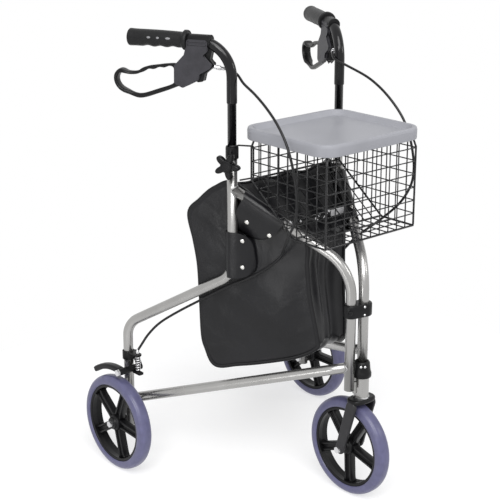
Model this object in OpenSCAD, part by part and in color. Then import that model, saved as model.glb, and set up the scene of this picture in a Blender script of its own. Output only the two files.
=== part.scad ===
// Three wheel rollator: two tubular side frames that fold about the front post, one
// swivelling front wheel, two rear wheels with cable brakes, height-adjustable handles,
// a vinyl bag between the frames and a wire basket with a plastic tray on top.
// +Z is up, the floor is Z = 0, the walker faces -Y and the user's right is -X.

/* [Stance] */
// Distance from the fold axis back to the rear axles
axle_back = 420; // [400:1:450]
// Distance between the two rear legs
leg_span = 494; // [470:1:520]
// Distance between the two uprights
upright_span = 282; // [274:1:300]
// Distance from the fold axis back to the uprights
upright_back = 217; // [214:1:230]
// Gap between the leg's axle boss and the wheel hub
wheel_gap = 1; // [0.6:0.1:3]

/* [Frame tubes] */
// Outer diameter of the frame tubes
tube_d = 20; // [19:0.1:21]
// Wall of the frame tubes
tube_wall = 1.4; // [1.2:0.05:1.45]
// Bend radius of the side tubes, at the middle of the tube
bend_r = 45; // [35:1:60]
// Bend radius at the top of the front posts
front_bend_r = 95; // [70:1:110]
// Height of the upright's top end
upright_top_z = 683; // [678:1:688]
// Height of the elbow where the upright turns back
elbow_z = 438; // [425:1:450]
// Height of the bend where the rear leg turns down
leg_bend_z = 308; // [295:1:320]
// Height of the rear leg's lower end
leg_end_z = 86; // [80:1:90]
// Drop of the front tube's weld below the upright's top end
weld_drop = 71; // [66:1:78]
// Height of the bend at the top of the front posts
front_bend_z = 479; // [474:1:486]
// Height of the right post's lower end
right_post_end_z = 234; // [228:1:240]
// Height of the lower bars at the rear legs
bar_rear_z = 143; // [135:1:155]
// Height of the right lower bar at its post
right_bar_front_z = 281; // [275:1:290]
// Height of the left lower bar at its post
left_bar_front_z = 310; // [306:1:330]
// Distance between the two front posts
post_gap = 29.5; // [29.4:0.1:32]
// Angle of the right post behind the fold axis, in degrees
post_turn = 10; // [5:1:15]

/* [Head and fold hinge] */
// Outer diameter of the head tube
head_d = 28.6; // [27:0.1:29]
// Wall of the head tube
head_wall = 2; // [1.5:0.1:2.5]
// Height of the head tube's lower end
head_low_z = 216; // [215.5:0.5:218]
// Length of the head tube
head_len = 40; // [36:1:42]
// Diameter of the pivot cap
cap_d = 37; // [33:0.5:38]
// Height of the pivot cap
cap_h = 33; // [30:1:36]
// Depth of the pivot cap's socket for the left post
socket_depth = 23; // [18:1:24]
// Height of the hinge knuckle's middle
knuckle_z = 396; // [380:1:404]
// Height of the hinge knuckle
knuckle_h = 26; // [18:1:30]
// Wall of the hinge knuckle round each post
knuckle_wall = 4.7; // [3:0.1:5]
// Thickness of the gusset between the head tube and the right post
gusset_t = 5; // [3:0.5:8]
// Height of the gusset
gusset_h = 24; // [16:1:26]

/* [Wheels] */
// Diameter of the wheels
wheel_d = 200; // [190:1:202]
// Width of the tyres
tyre_w = 30; // [26:1:32]
// Depth of the tyres
tyre_depth = 18; // [14:1:20]
// Width of the rims
rim_w = 26; // [20:1:28]
// Radial thickness of the rims
rim_depth = 7; // [5:0.5:9]
// Diameter of the hubs
hub_d = 32; // [26:1:36]
// Length of the hubs
hub_len = 34; // [30:0.5:35]
// Number of spokes
spoke_count = 5; // [3:1:7]
// Width of a spoke
spoke_w = 17; // [14:0.5:20]
// Thickness of a spoke's ribs along the axle
spoke_t = 15; // [12:0.5:18]
// Diameter of the axle bolts
axle_d = 8; // [7:0.5:10]

/* [Fork] */
// Trail of the front wheel behind the fold axis
trail = 28; // [22:1:34]
// Gap between the fork legs
fork_gap = 46; // [44:1:52]
// Thickness of a fork leg
fork_plate = 7; // [5:0.5:9]
// Thickness of the fork crown
crown_t = 10; // [8:0.5:10.5]
// Diameter of the fork stem
stem_d = 12; // [10:0.5:14]

/* [Handles] */
// Height of the grips above the uprights' top ends
handle_rise = 206; // [197:1:217]
// Straight length of the handle in front of the grip's flange
clamp_run = 21; // [20:0.5:26]
// Diameter of the telescoping part of the handle
handle_d = 17.1; // [16.5:0.05:17.1]
// Diameter of the handle's upper sleeve
sleeve_d = 20; // [19:0.1:20.4]
// Wall of the handle tube
handle_wall = 1.5; // [1:0.1:2]
// Bend radius of the handle
handle_bend_r = 65; // [60:1:72]
// Length of the handle tube inside the upright
handle_inside = 123; // [113:1:133]
// Drop of the upper sleeve's lower end below the grips
sleeve_drop = 113; // [100:1:117]
// Length of the grip
grip_len = 114; // [105:1:118]
// Diameter of the grip
grip_d = 33; // [30:0.5:36]
// Diameter of the grip's flange
flange_d = 38; // [34:0.5:42]
// Thickness of the grip's flange
flange_t = 8; // [5:0.5:10]

/* [Brake levers] */
// Width of the lever housing across the handle
housing_w = 25; // [22:0.5:28]
// Distance of the lever pivot behind the grip's flange
lever_back = 4; // [2:0.5:6]
// Drop of the lever pivot below the handle
lever_drop = 63; // [62:0.5:66]
// Reach of the lever loop behind its pivot
lever_len = 150; // [140:1:155]
// Thickness of the lever loop
lever_t = 12; // [9:0.5:14]
// Width of the pad at the end of the loop
lever_pad_w = 22; // [18:1:26]
// Radius of the lever's root inside the housing
lever_root_r = 18; // [14:0.5:19]
// Diameter of the lever pin
lever_pin_d = 6; // [5:0.5:8]

/* [Star knobs] */
// Drop of the star knob below the upright's top end
knob_drop = 21.5; // [21:0.5:28]
// Diameter of the star knobs
knob_d = 52; // [44:1:54]
// Thickness of the star knobs
knob_t = 14; // [10:1:18]
// Diameter of the clamping screws
knob_screw_d = 6; // [5:0.5:8]

/* [Rear brakes] */
// Height of the brake pivot
brake_z = 216; // [214:0.5:220]
// Distance of the brake pivot in front of the axle
brake_lead = 18; // [17.5:0.5:20]
// Diameter of the brake pivot bolt
brake_bolt_d = 8; // [6:0.5:9]
// Gap between the resting brake shoe and the tyre
shoe_gap = 12; // [11.5:0.5:14]
// Thickness of the brake shoe
shoe_t = 12; // [8:0.5:13]
// Width of the brake shoe
shoe_w = 16; // [12:1:20]
// Sweep of the brake shoe over the tyre, in degrees
shoe_sweep = 49; // [40:1:55]
// Height of the ear that holds the brake cable
ear_z = 246; // [242:1:250]
// Distance of the cable from the rear leg
ear_reach = 31; // [28:1:34]
// Wire of the return springs
spring_wire = 1.8; // [1.4:0.1:2]
// Middle diameter of the return springs
spring_d = 10; // [9:0.5:12]
// Number of coils in a return spring
spring_coils = 6; // [4:1:8]

/* [Cables] */
// Diameter of the brake cables
cable_d = 5; // [4:0.5:5.5]
// Diameter of the cable ferrules
ferrule_d = 7; // [6:0.5:8]

/* [Tray] */
// Width of the tray
tray_w = 248; // [246:1:252]
// Length of the tray
tray_len = 226; // [222:1:230]
// Front edge of the tray, behind the fold axis
tray_front = -20; // [-24:1:-19]
// Height of the tray's lower edge
tray_low_z = 710; // [706:1:712]
// Height of the tray's rim
tray_h = 23; // [20:1:28]
// Wall of the tray
tray_wall = 3; // [2:0.5:3.5]
// Depth of the tray's recess
tray_recess = 10; // [6:1:12]
// Corner radius of the tray
tray_corner_r = 28; // [20:1:34]

/* [Basket] */
// Gap between the basket's sides and the tray's skirt
basket_gap = 2; // [1.5:0.25:4]
// Front of the basket, behind the fold axis
basket_front_y = -14; // [-15:1:-8]
// Back of the basket, behind the fold axis
basket_back_y = 190; // [184:1:194]
// Height of the basket's floor
basket_floor_z = 538; // [537:1:546]
// Back edge of the floor, behind the fold axis
basket_floor_y = 70; // [60:1:72]
// Height at which the back begins to slope
basket_slope_z = 630; // [622:1:640]
// Thickness of the basket's wires
wire_t = 3; // [2.5:0.1:3.4]
// Spacing of the wires
wire_pitch = 25; // [22:0.5:40]
// Diameter of the hooks
hook_d = 3.2; // [2.6:0.1:3.4]
// Height of the hooks above the collars' top faces
hook_seat = 0.3; // [0.2:0.1:1]

/* [Bag] */
// Length of the bag along the frames
bag_len = 265; // [255:1:270]
// Height of the bag's lowest point above the lower bars' rear ends
bag_lift = 95; // [88:1:110]
// Height of the bag's highest edge
bag_top_z = 618; // [612:1:622]
// Part of the bag that lies behind the upright
bag_back = 96; // [90:1:102]
// Thickness of the bag's cloth
cloth_t = 2.5; // [2:0.1:3]
// Length of a flap along its tube
flap_len = 66; // [60:1:80]
// Drop of the flaps from the tube to their snaps
flap_drop = 46; // [36:1:50]
// Diameter of the snap studs
stud_d = 10; // [8:0.5:12]

/* [Hidden] */
bag_h = bag_top_z - bar_rear_z - bag_lift;
basket_w = tray_w - 2 * tray_wall - 2 * basket_gap;
handle_z = upright_top_z + handle_rise;
handle_low_z = upright_top_z - handle_inside;
sleeve_z = handle_z - sleeve_drop;
flange_s = handle_bend_r + clamp_run;
handle_reach = flange_s + flange_t + grip_len;
lever_s = flange_s + lever_back;
knob_z = upright_top_z - knob_drop;
weld_z = upright_top_z - weld_drop;
$fn = 96;

// Clearances: radial gap of a turning or sliding fit, gap at a weld or seat, overrun of cuts
run_fit = 0.05;
seat_gap = 0.1;
soft_gap = 0.3;
overrun = 1;

// Stance: the origin lies midway between the front and the rear of the wheels
wheel_r = wheel_d / 2;
mid_y = (axle_back + trail) / 2;
tube_r = tube_d / 2;
tube_bore = tube_d - 2 * tube_wall;
upright_x = upright_span / 2;
leg_x = leg_span / 2;
right_post = post_gap * [-cos(post_turn), sin(post_turn)];
left_post = [0, 0];
splay = atan((leg_x - upright_x) / (axle_back - upright_back));
leg_s = norm([leg_x - upright_x, axle_back - upright_back]);
head_top_z = head_low_z + head_len;
race_gap = 2.6;
crown_top_z = head_low_z - race_gap;
cap_top_z = head_top_z + seat_gap + cap_h;
left_post_end_z = cap_top_z - socket_depth + seat_gap;

// Colours
silver = [0.68, 0.68, 0.69];
bright = [0.82, 0.82, 0.84];
black = [0.06, 0.06, 0.07];
charcoal = [0.15, 0.15, 0.17];
violet = [0.42, 0.42, 0.60];
vinyl = [0.09, 0.09, 0.10];
pale = [0.70, 0.71, 0.74];

// Everything is drawn behind the fold axis and moved so that the origin is under the middle
module from_axis() { translate([0, -mid_y, 0]) children(); }

// Side plane: x runs back along the frame from the upright, y points outwards
module right_plane() {
    from_axis() translate([-upright_x, upright_back, 0]) rotate([0, 0, 90 + splay]) children();
}
module side_plane(left) {
    if (left) mirror([1, 0, 0]) right_plane() children();
    else right_plane() children();
}
// Mirrors what is drawn for the right side
module for_side(left) {
    if (left) mirror([1, 0, 0]) from_axis() children();
    else from_axis() children();
}
// Front plane: origin on a front post, x runs back to the upright of the same side
function front_run(left) = norm(front_step(left));
function front_step(left) = (left ? [upright_x, upright_back] - left_post
                                  : [-upright_x, upright_back] - right_post);
module front_plane(left) {
    post = left ? left_post : right_post;
    step = front_step(left);
    from_axis() translate([post.x, post.y, 0]) rotate([0, 0, atan2(step.y, step.x)]) children();
}

// Round bars and bent bars
function unit(v) = v / norm(v);
function turn_of(a, b, c) = acos(unit(b - a) * unit(c - b));
function tangent_of(a, b, c, r) = r * tan(turn_of(a, b, c) / 2);
module rod(p, q, d) {
    v = q - p;
    translate(p) rotate([0, acos(v.z / norm(v)), atan2(v.y, v.x)]) cylinder(h = norm(v), d = d);
}
module tube_section(d, bore) {
    difference() {
        circle(d = d);
        circle(d = bore);
    }
}
module straight(p, q, d, bore) {
    v = q - p;
    translate([p.x, 0, p.y]) rotate([0, atan2(v.x, v.y), 0]) linear_extrude(norm(v)) tube_section(d, bore);
}
// A round bend of radius r at corner b of a path in the XZ plane, a hair thicker than the tube
bend_skin = 0.15;
bend_lap = 1;
module bend(a, b, c, r, d, bore) {
    u = unit(b - a);
    w = unit(c - b);
    turn = turn_of(a, b, c);
    side = sign(u.x * w.y - u.y * w.x);
    start = b - u * tangent_of(a, b, c, r);
    centre = start + side * r * [-u.y, u.x];
    from = atan2(start.y - centre.y, start.x - centre.x);
    translate([centre.x, 0, centre.y]) rotate([90, 0, 0])
        rotate([0, 0, side > 0 ? from : from - turn])
            rotate_extrude(angle = turn) translate([r, 0]) tube_section(d + 2 * bend_skin, bore - 2 * bend_skin);
}
// A round tube along points of the XZ plane, bent to radius r at each inner point; the
// straight stretches lap a little into the bends
module bent_tube(pts, r, d, bore) {
    last = len(pts) - 1;
    for (i = [0 : last - 1]) {
        u = unit(pts[i + 1] - pts[i]);
        near = i == 0 ? 0 : tangent_of(pts[i - 1], pts[i], pts[i + 1], r) - bend_lap;
        far = i == last - 1 ? 0 : tangent_of(pts[i], pts[i + 1], pts[i + 2], r) - bend_lap;
        straight(pts[i] + u * near, pts[i + 1] - u * far, d, bore);
    }
    for (i = [1 : last - 1]) bend(pts[i - 1], pts[i], pts[i + 1], r, d, bore);
}
// Flat link between two round ends
module link(p, q, rp, rq) {
    v = q - p;
    base = atan2(v.y, v.x);
    lean = acos((rp - rq) / norm(v));
    translate(p) circle(r = rp);
    translate(q) circle(r = rq);
    polygon([for (k = [[p, rp, 1], [q, rq, 1], [q, rq, -1], [p, rp, -1]])
        k[0] + k[1] * [cos(base + k[2] * lean), sin(base + k[2] * lean)]]);
}
// The same link as one outline of many points
link_steps = 24;
function link_outline(p, q, rp, rq) = let (
        v = q - p,
        base = atan2(v.y, v.x),
        lean = acos((rp - rq) / norm(v)))
    concat([for (i = [0 : link_steps]) let (a = base + lean + (360 - 2 * lean) * i / link_steps) p + rp * [cos(a), sin(a)]],
        [for (i = [0 : link_steps]) let (a = base - lean + 2 * lean * i / link_steps) q + rq * [cos(a), sin(a)]]);
// A flat shape drawn in the XZ plane, t thick about y = 0
module upright_sheet(t) { rotate([90, 0, 0]) linear_extrude(t, center = true) children(); }
// A flat shape drawn in the YZ plane, t thick from x = 0 on
module cross_sheet(t) { rotate([90, 0, 90]) linear_extrude(t) children(); }
module hexagon(d, h) { cylinder(h = h, d = d, $fn = 6); }
module cross_rod(x0, x1, d) { translate([x0, 0, 0]) rotate([0, 90, 0]) cylinder(h = x1 - x0, d = d); }

// A smooth closed outline through hand-chosen points
smooth_steps = 4;
function hermite(a, b, c, d, t) = b + (c - a) * t / 2 + (2 * a - 5 * b + 4 * c - d) * t * t / 2
    + (3 * b - a - 3 * c + d) * t * t * t / 2;
function smooth_loop(p) = [for (i = [0 : len(p) - 1], k = [0 : smooth_steps - 1])
    hermite(p[(i + len(p) - 1) % len(p)], p[i], p[(i + 1) % len(p)], p[(i + 2) % len(p)], k / smooth_steps)];
// A smooth open curve through hand-chosen points
function smooth_line(p, steps) = [for (i = [0 : len(p) - 2], k = [0 : steps - 1])
    hermite(p[max(i - 1, 0)], p[i], p[i + 1], p[min(i + 2, len(p) - 1)], k / steps), p[len(p) - 1]];
// A round tube swept along points, with as many sides as asked for
function along(p, i) = unit(p[min(i + 1, len(p) - 1)] - p[max(i - 1, 0)]);
function ring_side(dir) = unit(cross(dir, abs(dir.x) < abs(dir.y) ? [1, 0, 0] : [0, 1, 0]));
function next_side(side, dir) = unit(side - dir * (side * dir));
function sides_of(p, i = 0, side = undef, got = []) = i == len(p) ? got
    : let (s = i == 0 ? ring_side(along(p, 0)) : next_side(side, along(p, i)))
      sides_of(p, i + 1, s, concat(got, [s]));
module swept(p, d, sides) {
    s = sides_of(p);
    rings = [for (i = [0 : len(p) - 1], k = [0 : sides - 1])
        p[i] + d / 2 * (s[i] * cos(360 * k / sides) + cross(along(p, i), s[i]) * sin(360 * k / sides))];
    walls = [for (i = [0 : len(p) - 2], k = [0 : sides - 1], half = [0, 1])
        let (a = i * sides + k, b = i * sides + (k + 1) % sides)
        half == 0 ? [a, a + sides, b] : [b, a + sides, b + sides]];
    top = (len(p) - 1) * sides;
    polyhedron(concat(rings, [p[0], p[len(p) - 1]]), concat(walls,
        [for (k = [0 : sides - 1]) [len(rings), k, (k + 1) % sides]],
        [for (k = [0 : sides - 1]) [len(rings) + 1, top + (k + 1) % sides, top + k]]));
}

// Side frames: upright, elbow, rear slope and leg in one bent tube, with a boss for the
// star knob's screw and a cross boss for the axle
boss_d = 15;
boss_out = 18;
axle_boss_d = 18;
axle_boss_len = 26;
track = leg_span + axle_boss_len + hub_len + 2 * wheel_gap;
module main_tube(left) {
    path = [[0, upright_top_z], [0, elbow_z], [leg_s, leg_bend_z], [leg_s, leg_end_z]];
    color(silver) difference() {
        union() {
            side_plane(left) {
                bent_tube(path, bend_r, tube_d, tube_bore);
                translate([0, 0, knob_z]) rotate([-90, 0, 0]) difference() {
                    cylinder(h = boss_out, d = boss_d);
                    translate([0, 0, -overrun]) rotate([90, 0, 0])
                        cylinder(h = 2 * boss_d, d = tube_d - tube_wall, center = true);
                }
            }
            for_side(left) translate([-leg_x, axle_back, wheel_r])
                cross_rod(-axle_boss_len / 2, axle_boss_len / 2, axle_boss_d);
        }
        side_plane(left) {
            translate([0, 0, knob_z]) rotate([-90, 0, 0]) cylinder(h = boss_out + overrun, d = knob_screw_d + 2 * run_fit);
            translate([0, 0, knob_z]) cylinder(h = 2 * boss_d, d = tube_bore, center = true);
        }
        for_side(left) translate([-leg_x, axle_back, wheel_r])
            cross_rod(-axle_boss_len, axle_boss_len, axle_d + 2 * run_fit);
    }
}

// Front tube: down from the upright and round into the front post
module front_tube(left) {
    run = front_run(left);
    path = [[0, left ? left_post_end_z : right_post_end_z], [0, front_bend_z], [run, weld_z]];
    color(silver) front_plane(left) difference() {
        bent_tube(path, front_bend_r, tube_d, tube_bore);
        translate([run, 0, weld_z]) cylinder(h = 4 * tube_d, d = tube_d + 2 * seat_gap, center = true);
    }
}

// Lower bar: straight tube from the rear leg up to the front post
module lower_bar(left) {
    side = left ? 1 : -1;
    post = left ? left_post : right_post;
    low = [side * leg_x, axle_back, bar_rear_z];
    high = [post.x, post.y, left ? left_bar_front_z : right_bar_front_z];
    out = unit(high - low) * overrun;
    color(silver) from_axis() difference() {
        rod(low, high, tube_d);
        rod(low - out, high + out, tube_bore);
        for (p = [low, high]) translate(p) cylinder(h = 4 * tube_d, d = tube_d + 2 * seat_gap, center = true);
    }
}

// Head tube with its gusset to the right post
module head_tube() {
    head_bore = head_d - 2 * head_wall;
    color(silver) from_axis() difference() {
        union() {
            translate([0, 0, head_low_z]) cylinder(h = head_len, d = head_d);
            rotate([0, 0, atan2(right_post.y, right_post.x)])
                translate([0, -gusset_t / 2, head_top_z - (head_len + gusset_h) / 2])
                    cube([post_gap, gusset_t, gusset_h]);
        }
        translate([0, 0, head_low_z - overrun]) cylinder(h = head_len + 2 * overrun, d = head_bore);
        translate([right_post.x, right_post.y, head_low_z])
            cylinder(h = head_len, d = tube_d + 2 * seat_gap);
    }
}

// Head bearings: two rings pressed into the head tube, the lower one with a flange below it
bearing_h = 8;
race_d = 31;
race_t = head_low_z - crown_top_z - 2 * seat_gap;
module head_bearings() {
    bearing_d = head_d - 2 * head_wall - 2 * run_fit;
    color(bright) from_axis() difference() {
        union() {
            translate([0, 0, head_top_z - bearing_h]) cylinder(h = bearing_h, d = bearing_d);
            translate([0, 0, head_low_z - seat_gap]) cylinder(h = bearing_h, d = bearing_d);
            translate([0, 0, crown_top_z + seat_gap]) cylinder(h = race_t, d = race_d);
        }
        translate([0, 0, crown_top_z]) cylinder(h = 2 * head_len, d = stem_d + 2 * run_fit);
    }
}

// Hinge knuckle: a plastic block clamped to the right post, in which the left post turns
knuckle_taper_share = 0.97;
module hinge_knuckle() {
    post_bore = tube_d + 2 * run_fit;
    outer = tube_r + knuckle_wall;
    color(charcoal) from_axis() translate([0, 0, knuckle_z - knuckle_h / 2]) {
        difference() {
            linear_extrude(knuckle_h) polygon(link_outline(right_post, left_post, outer, outer * knuckle_taper_share));
            for (p = [right_post, left_post])
                translate([p.x, p.y, -overrun]) cylinder(h = knuckle_h + 2 * overrun, d = post_bore);
        }
    }
}

// Pivot cap: covers the head tube's top and holds the left post's foot in a socket
cap_top_share = 0.92;
cap_round_share = 0.3;
module pivot_cap() {
    low = head_top_z + seat_gap;
    floor_z = cap_top_z - socket_depth;
    nut_room_r = head_d / 2 - head_wall;
    cap_r = cap_d / 2;
    nut_room_z = floor_z - head_wall;
    color(black) from_axis() rotate_extrude() polygon([
        [nut_room_r, low], [cap_r, low], [cap_r, low + cap_h * cap_round_share],
        [cap_r * cap_top_share, cap_top_z], [tube_r + run_fit, cap_top_z],
        [tube_r + run_fit, floor_z], [0, floor_z], [0, nut_room_z], [nut_room_r, nut_room_z]]);
}

// Rear axle: bolt through the leg's boss and the hub, with its head inside and a nut outside
bolt_head_d = 14;
bolt_head_t = 5;
nut_t = 7;
module rear_axle(left) {
    inner = -leg_x + axle_boss_len / 2 + seat_gap;
    outer = -track / 2 - hub_len / 2 - seat_gap;
    color(bright) for_side(left) translate([0, axle_back, wheel_r]) {
        cross_rod(outer - nut_t / 2, inner + bolt_head_t / 2, axle_d);
        translate([inner, 0, 0]) rotate([0, 90, 0]) hexagon(bolt_head_d, bolt_head_t);
        translate([outer - nut_t, 0, 0]) rotate([0, 90, 0]) hexagon(bolt_head_d, nut_t);
    }
}

// Collar: plastic ring on the upright's top, which guides the handle tube
collar_d = 25;
collar_h = 24;
collar_top_h = 12;
collar_top_z = upright_top_z + collar_top_h;
module collar(left) {
    color(black) side_plane(left) difference() {
        translate([0, 0, collar_top_z - collar_h]) cylinder(h = collar_h, d = collar_d);
        translate([0, 0, collar_top_z - collar_h - overrun])
            cylinder(h = collar_h + 2 * overrun, d = handle_d + 2 * run_fit);
        translate([0, 0, collar_top_z - collar_h - overrun])
            cylinder(h = collar_h - collar_top_h + overrun + seat_gap, d = tube_d + 2 * run_fit);
    }
}

// Rear brake bracket: a clamp on the leg with a cheek for the pivot and an ear for the cable
clamp_wall = 4.5;
clamp_lift = 10;
clamp_low_z = brake_z + clamp_lift;
ear_t = 4;
clamp_h = ear_z + ear_t - clamp_low_z;
ear_w = 17;
cheek_t = 5;
cheek_back = 8;
cheek_low = 12;
brake_hub_r = 7;
brake_pivot_y = axle_back - brake_lead;
cheek_gap = 1;
cheek_x = -leg_x + tube_r + cheek_gap;
module brake_bracket(left) {
    clamp_r = tube_r + clamp_wall;
    color(black) for_side(left) difference() {
        union() {
            translate([-leg_x, axle_back, clamp_low_z]) cylinder(h = clamp_h, r = clamp_r);
            translate([cheek_x, brake_pivot_y - brake_hub_r, brake_z - cheek_low])
                cube([cheek_t, brake_lead + brake_hub_r + cheek_back, ear_z + ear_t - brake_z + cheek_low]);
            translate([-leg_x - ear_w / 2, axle_back - ear_reach - ear_w / 2, ear_z])
                cube([ear_w, ear_reach + ear_w / 2, ear_t]);
        }
        translate([-leg_x, axle_back, bar_rear_z]) cylinder(h = leg_bend_z - bar_rear_z, r = tube_r + run_fit);
        translate([-leg_x, axle_back - ear_reach, ear_z - overrun])
            cylinder(h = ear_t + 2 * overrun, d = spring_d / 2);
        translate([0, brake_pivot_y, brake_z])
            cross_rod(-leg_x, cheek_x + cheek_t + overrun, brake_bolt_d + 2 * run_fit);
    }
}

// Brake shoe: a curved bar over the tyre, a hub on the pivot bolt and a tongue that the cable lifts
tongue_w = 12;
tongue_t = 5;
tongue_drop = 4;
shoe_edge_share = 0.12;
function shoe_r() = wheel_r + shoe_gap + shoe_t / 2;
module brake_shoe(left) {
    hub_x0 = -track / 2 - shoe_w / 2;
    hub_x1 = cheek_x - seat_gap;
    edge = shoe_w * shoe_edge_share;
    lead_angle = asin(brake_lead / shoe_r());
    color(black) for_side(left) difference() {
        union() {
            translate([0, brake_pivot_y, brake_z]) cross_rod(hub_x0, hub_x1, 2 * brake_hub_r);
            translate([-track / 2, axle_back, wheel_r]) rotate([90, 0, 90])
                rotate([0, 0, 90 + lead_angle - shoe_sweep]) rotate_extrude(angle = shoe_sweep)
                    translate([shoe_r() - shoe_t / 2, 0]) polygon([
                        [0, -shoe_w / 2], [shoe_t - edge, -shoe_w / 2], [shoe_t, edge - shoe_w / 2],
                        [shoe_t, shoe_w / 2 - edge], [shoe_t - edge, shoe_w / 2], [0, shoe_w / 2]]);
            translate([-leg_x - tongue_w / 2, axle_back - ear_reach - tongue_w, brake_z - tongue_drop - tongue_t])
                cube([tongue_w, ear_reach - brake_lead + tongue_w, tongue_t]);
        }
        translate([0, brake_pivot_y, brake_z]) cross_rod(hub_x0 - shoe_w, hub_x1 + overrun, brake_bolt_d + 2 * run_fit);
    }
}
module brake_bolt(left) {
    head_x = -track / 2 - shoe_w / 2 - seat_gap;
    color(bright) for_side(left) translate([0, brake_pivot_y, brake_z]) {
        cross_rod(head_x - bolt_head_t / 2, cheek_x + cheek_t, brake_bolt_d);
        translate([head_x - bolt_head_t, 0, 0]) rotate([0, 90, 0]) hexagon(bolt_head_d, bolt_head_t);
    }
}

// Return spring between the ear and the tongue: one wire wound as a helix with straight ends
spring_low_z = brake_z - tongue_drop + soft_gap;
spring_high_z = ear_z - soft_gap;
spring_ring_steps = 8;
spring_points = let (
        n = spring_coils * spring_ring_steps,
        low = spring_low_z + spring_wire,
        high = spring_high_z - spring_wire)
    concat([[spring_d / 2, 0, spring_low_z]],
        [for (i = [0 : n]) [spring_d / 2 * cos(360 * i / spring_ring_steps),
            spring_d / 2 * sin(360 * i / spring_ring_steps), low + (high - low) * i / n]],
        [[spring_d / 2, 0, spring_high_z]]);
function least(v) = min(v);
spring_gap = least([for (i = [0 : len(spring_points) - 1],
    j = [i + spring_ring_steps / 2 : 1 : len(spring_points) - 1])
        norm(spring_points[i] - spring_points[j])]) - spring_wire;
echo(spring_least_gap = spring_gap);
module brake_spring(left) {
    color(bright) for_side(left) translate([-leg_x, axle_back - ear_reach, 0])
        swept(spring_points, spring_wire, 6);
}

// Handle: telescoping tube, bent back into the grip, with a thicker sleeve above
module handle_tube(left) {
    tube_end = handle_reach - grip_end_t;
    bore = handle_d - 2 * handle_wall;
    path = [[0, sleeve_z], [0, handle_z], [tube_end, handle_z]];
    color(black) side_plane(left) {
        straight([0, handle_low_z], [0, sleeve_z + bend_lap], handle_d, bore);
        bent_tube(path, handle_bend_r, sleeve_d, bore - 2 * bend_skin);
    }
}

// Grip: moulded sleeve with a flange in front and a closed end
grip_end_t = 5;
grip_waist_share = 0.9;
grip_round_share = 0.1;
module grip(left) {
    start = handle_reach - grip_len - flange_t;
    full = grip_len + flange_t;
    r = grip_d / 2;
    round_t = grip_len * grip_round_share;
    bore_r = sleeve_d / 2 + run_fit;
    neck_r = r * grip_waist_share;
    color(black) side_plane(left) translate([start, 0, handle_z]) rotate([0, 90, 0]) rotate_extrude() polygon([
        [bore_r, 0], [flange_d / 2, 0], [flange_d / 2, flange_t], [neck_r, flange_t + round_t],
        [r, full / 2], [r, full - round_t], [neck_r, full], [0, full],
        [0, full - grip_end_t + seat_gap], [bore_r, full - grip_end_t + seat_gap]]);
}

// Lever housing: clamped on the handle in front of the grip, forked round the lever's root
housing_ahead = 42;
housing_len = 73;
housing_front = flange_s - housing_ahead;
housing_back = housing_front + housing_len;
housing_depth = 84;
housing_share_points_shares = [
    [0.36, 0.00], [0.51, 0.00], [0.51, 0.16], [0.71, 0.36], [0.88, 0.50], [1.00, 0.69], [1.00, 0.96],
    [0.89, 1.00], [0.36, 0.83], [0.27, 0.64], [0.03, 0.63], [0.00, 0.52], [0.25, 0.38], [0.22, 0.22], [0.36, 0.13]];
slot_side_gap = 0.4;
slot_root_gap = 4;
slot_rise = 3;
clamp_ring_d = 29;
module lever_housing(left) {
    span = housing_back - housing_front;
    clamp_end = handle_reach - grip_len - flange_t - seat_gap;
    clamp_start = housing_front + span * housing_share_points_shares[0].x;
    pivot_z = handle_z - lever_drop;
    slot_r = lever_root_r + slot_root_gap;
    color(charcoal) side_plane(left) difference() {
        union() {
            upright_sheet(housing_w) polygon([for (p = housing_share_points_shares)
                [housing_front + span * p.x, handle_z - housing_depth * p.y]]);
            translate([clamp_start, 0, handle_z]) rotate([0, 90, 0])
                cylinder(h = clamp_end - clamp_start, d = clamp_ring_d);
        }
        translate([0, 0, handle_z]) rotate([0, 90, 0]) cylinder(h = handle_reach, d = sleeve_d + 2 * run_fit);
        upright_sheet(lever_t + 2 * slot_side_gap) {
            translate([lever_s, pivot_z]) circle(r = slot_r);
            translate([lever_s, pivot_z - housing_depth]) square([housing_depth, housing_depth + slot_r + slot_rise]);
            translate([lever_s - slot_r, pivot_z - housing_depth]) square([slot_r, housing_depth]);
        }
        translate([lever_s, 0, pivot_z]) rotate([90, 0, 0])
            cylinder(h = 2 * housing_w, d = lever_pin_d + 2 * run_fit, center = true);
    }
}
module lever_pin(left) {
    color(bright) side_plane(left) translate([lever_s, 0, handle_z - lever_drop]) rotate([90, 0, 0])
        cylinder(h = housing_w, d = lever_pin_d, center = true);
}

// Brake lever: a closed loop with a broad pad at its end, hung on the pin by a round root
lever_outer_shares = [
    [0.10, 0.115], [0.37, 0.105], [0.58, 0.060], [0.68, 0.005], [0.82, 0.000], [0.92, 0.030], [1.00, -0.055],
    [0.995, -0.170], [0.925, -0.265], [0.80, -0.320], [0.63, -0.358], [0.38, -0.280], [0.14, -0.185], [0.02, -0.110]];
lever_inner_shares = [
    [0.21, 0.075], [0.37, 0.055], [0.57, 0.007], [0.68, -0.052], [0.81, -0.060], [0.90, -0.045], [0.945, -0.115],
    [0.91, -0.195], [0.81, -0.245], [0.64, -0.280], [0.40, -0.205], [0.21, -0.130], [0.185, -0.025]];
lever_pad_share = 0.80;
module lever_loop() {
    difference() {
        polygon(smooth_loop(lever_outer_shares * lever_len));
        polygon(smooth_loop(lever_inner_shares * lever_len));
    }
}
module brake_lever(left) {
    color(charcoal) side_plane(left) translate([lever_s, 0, handle_z - lever_drop]) difference() {
        union() {
            upright_sheet(lever_t) {
                lever_loop();
                circle(r = lever_root_r);
            }
            upright_sheet(lever_pad_w) intersection() {
                lever_loop();
                translate([lever_len * lever_pad_share, -lever_len]) square(2 * lever_len);
            }
        }
        rotate([90, 0, 0]) cylinder(h = 2 * lever_t, d = lever_pin_d + 2 * run_fit, center = true);
    }
}

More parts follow.
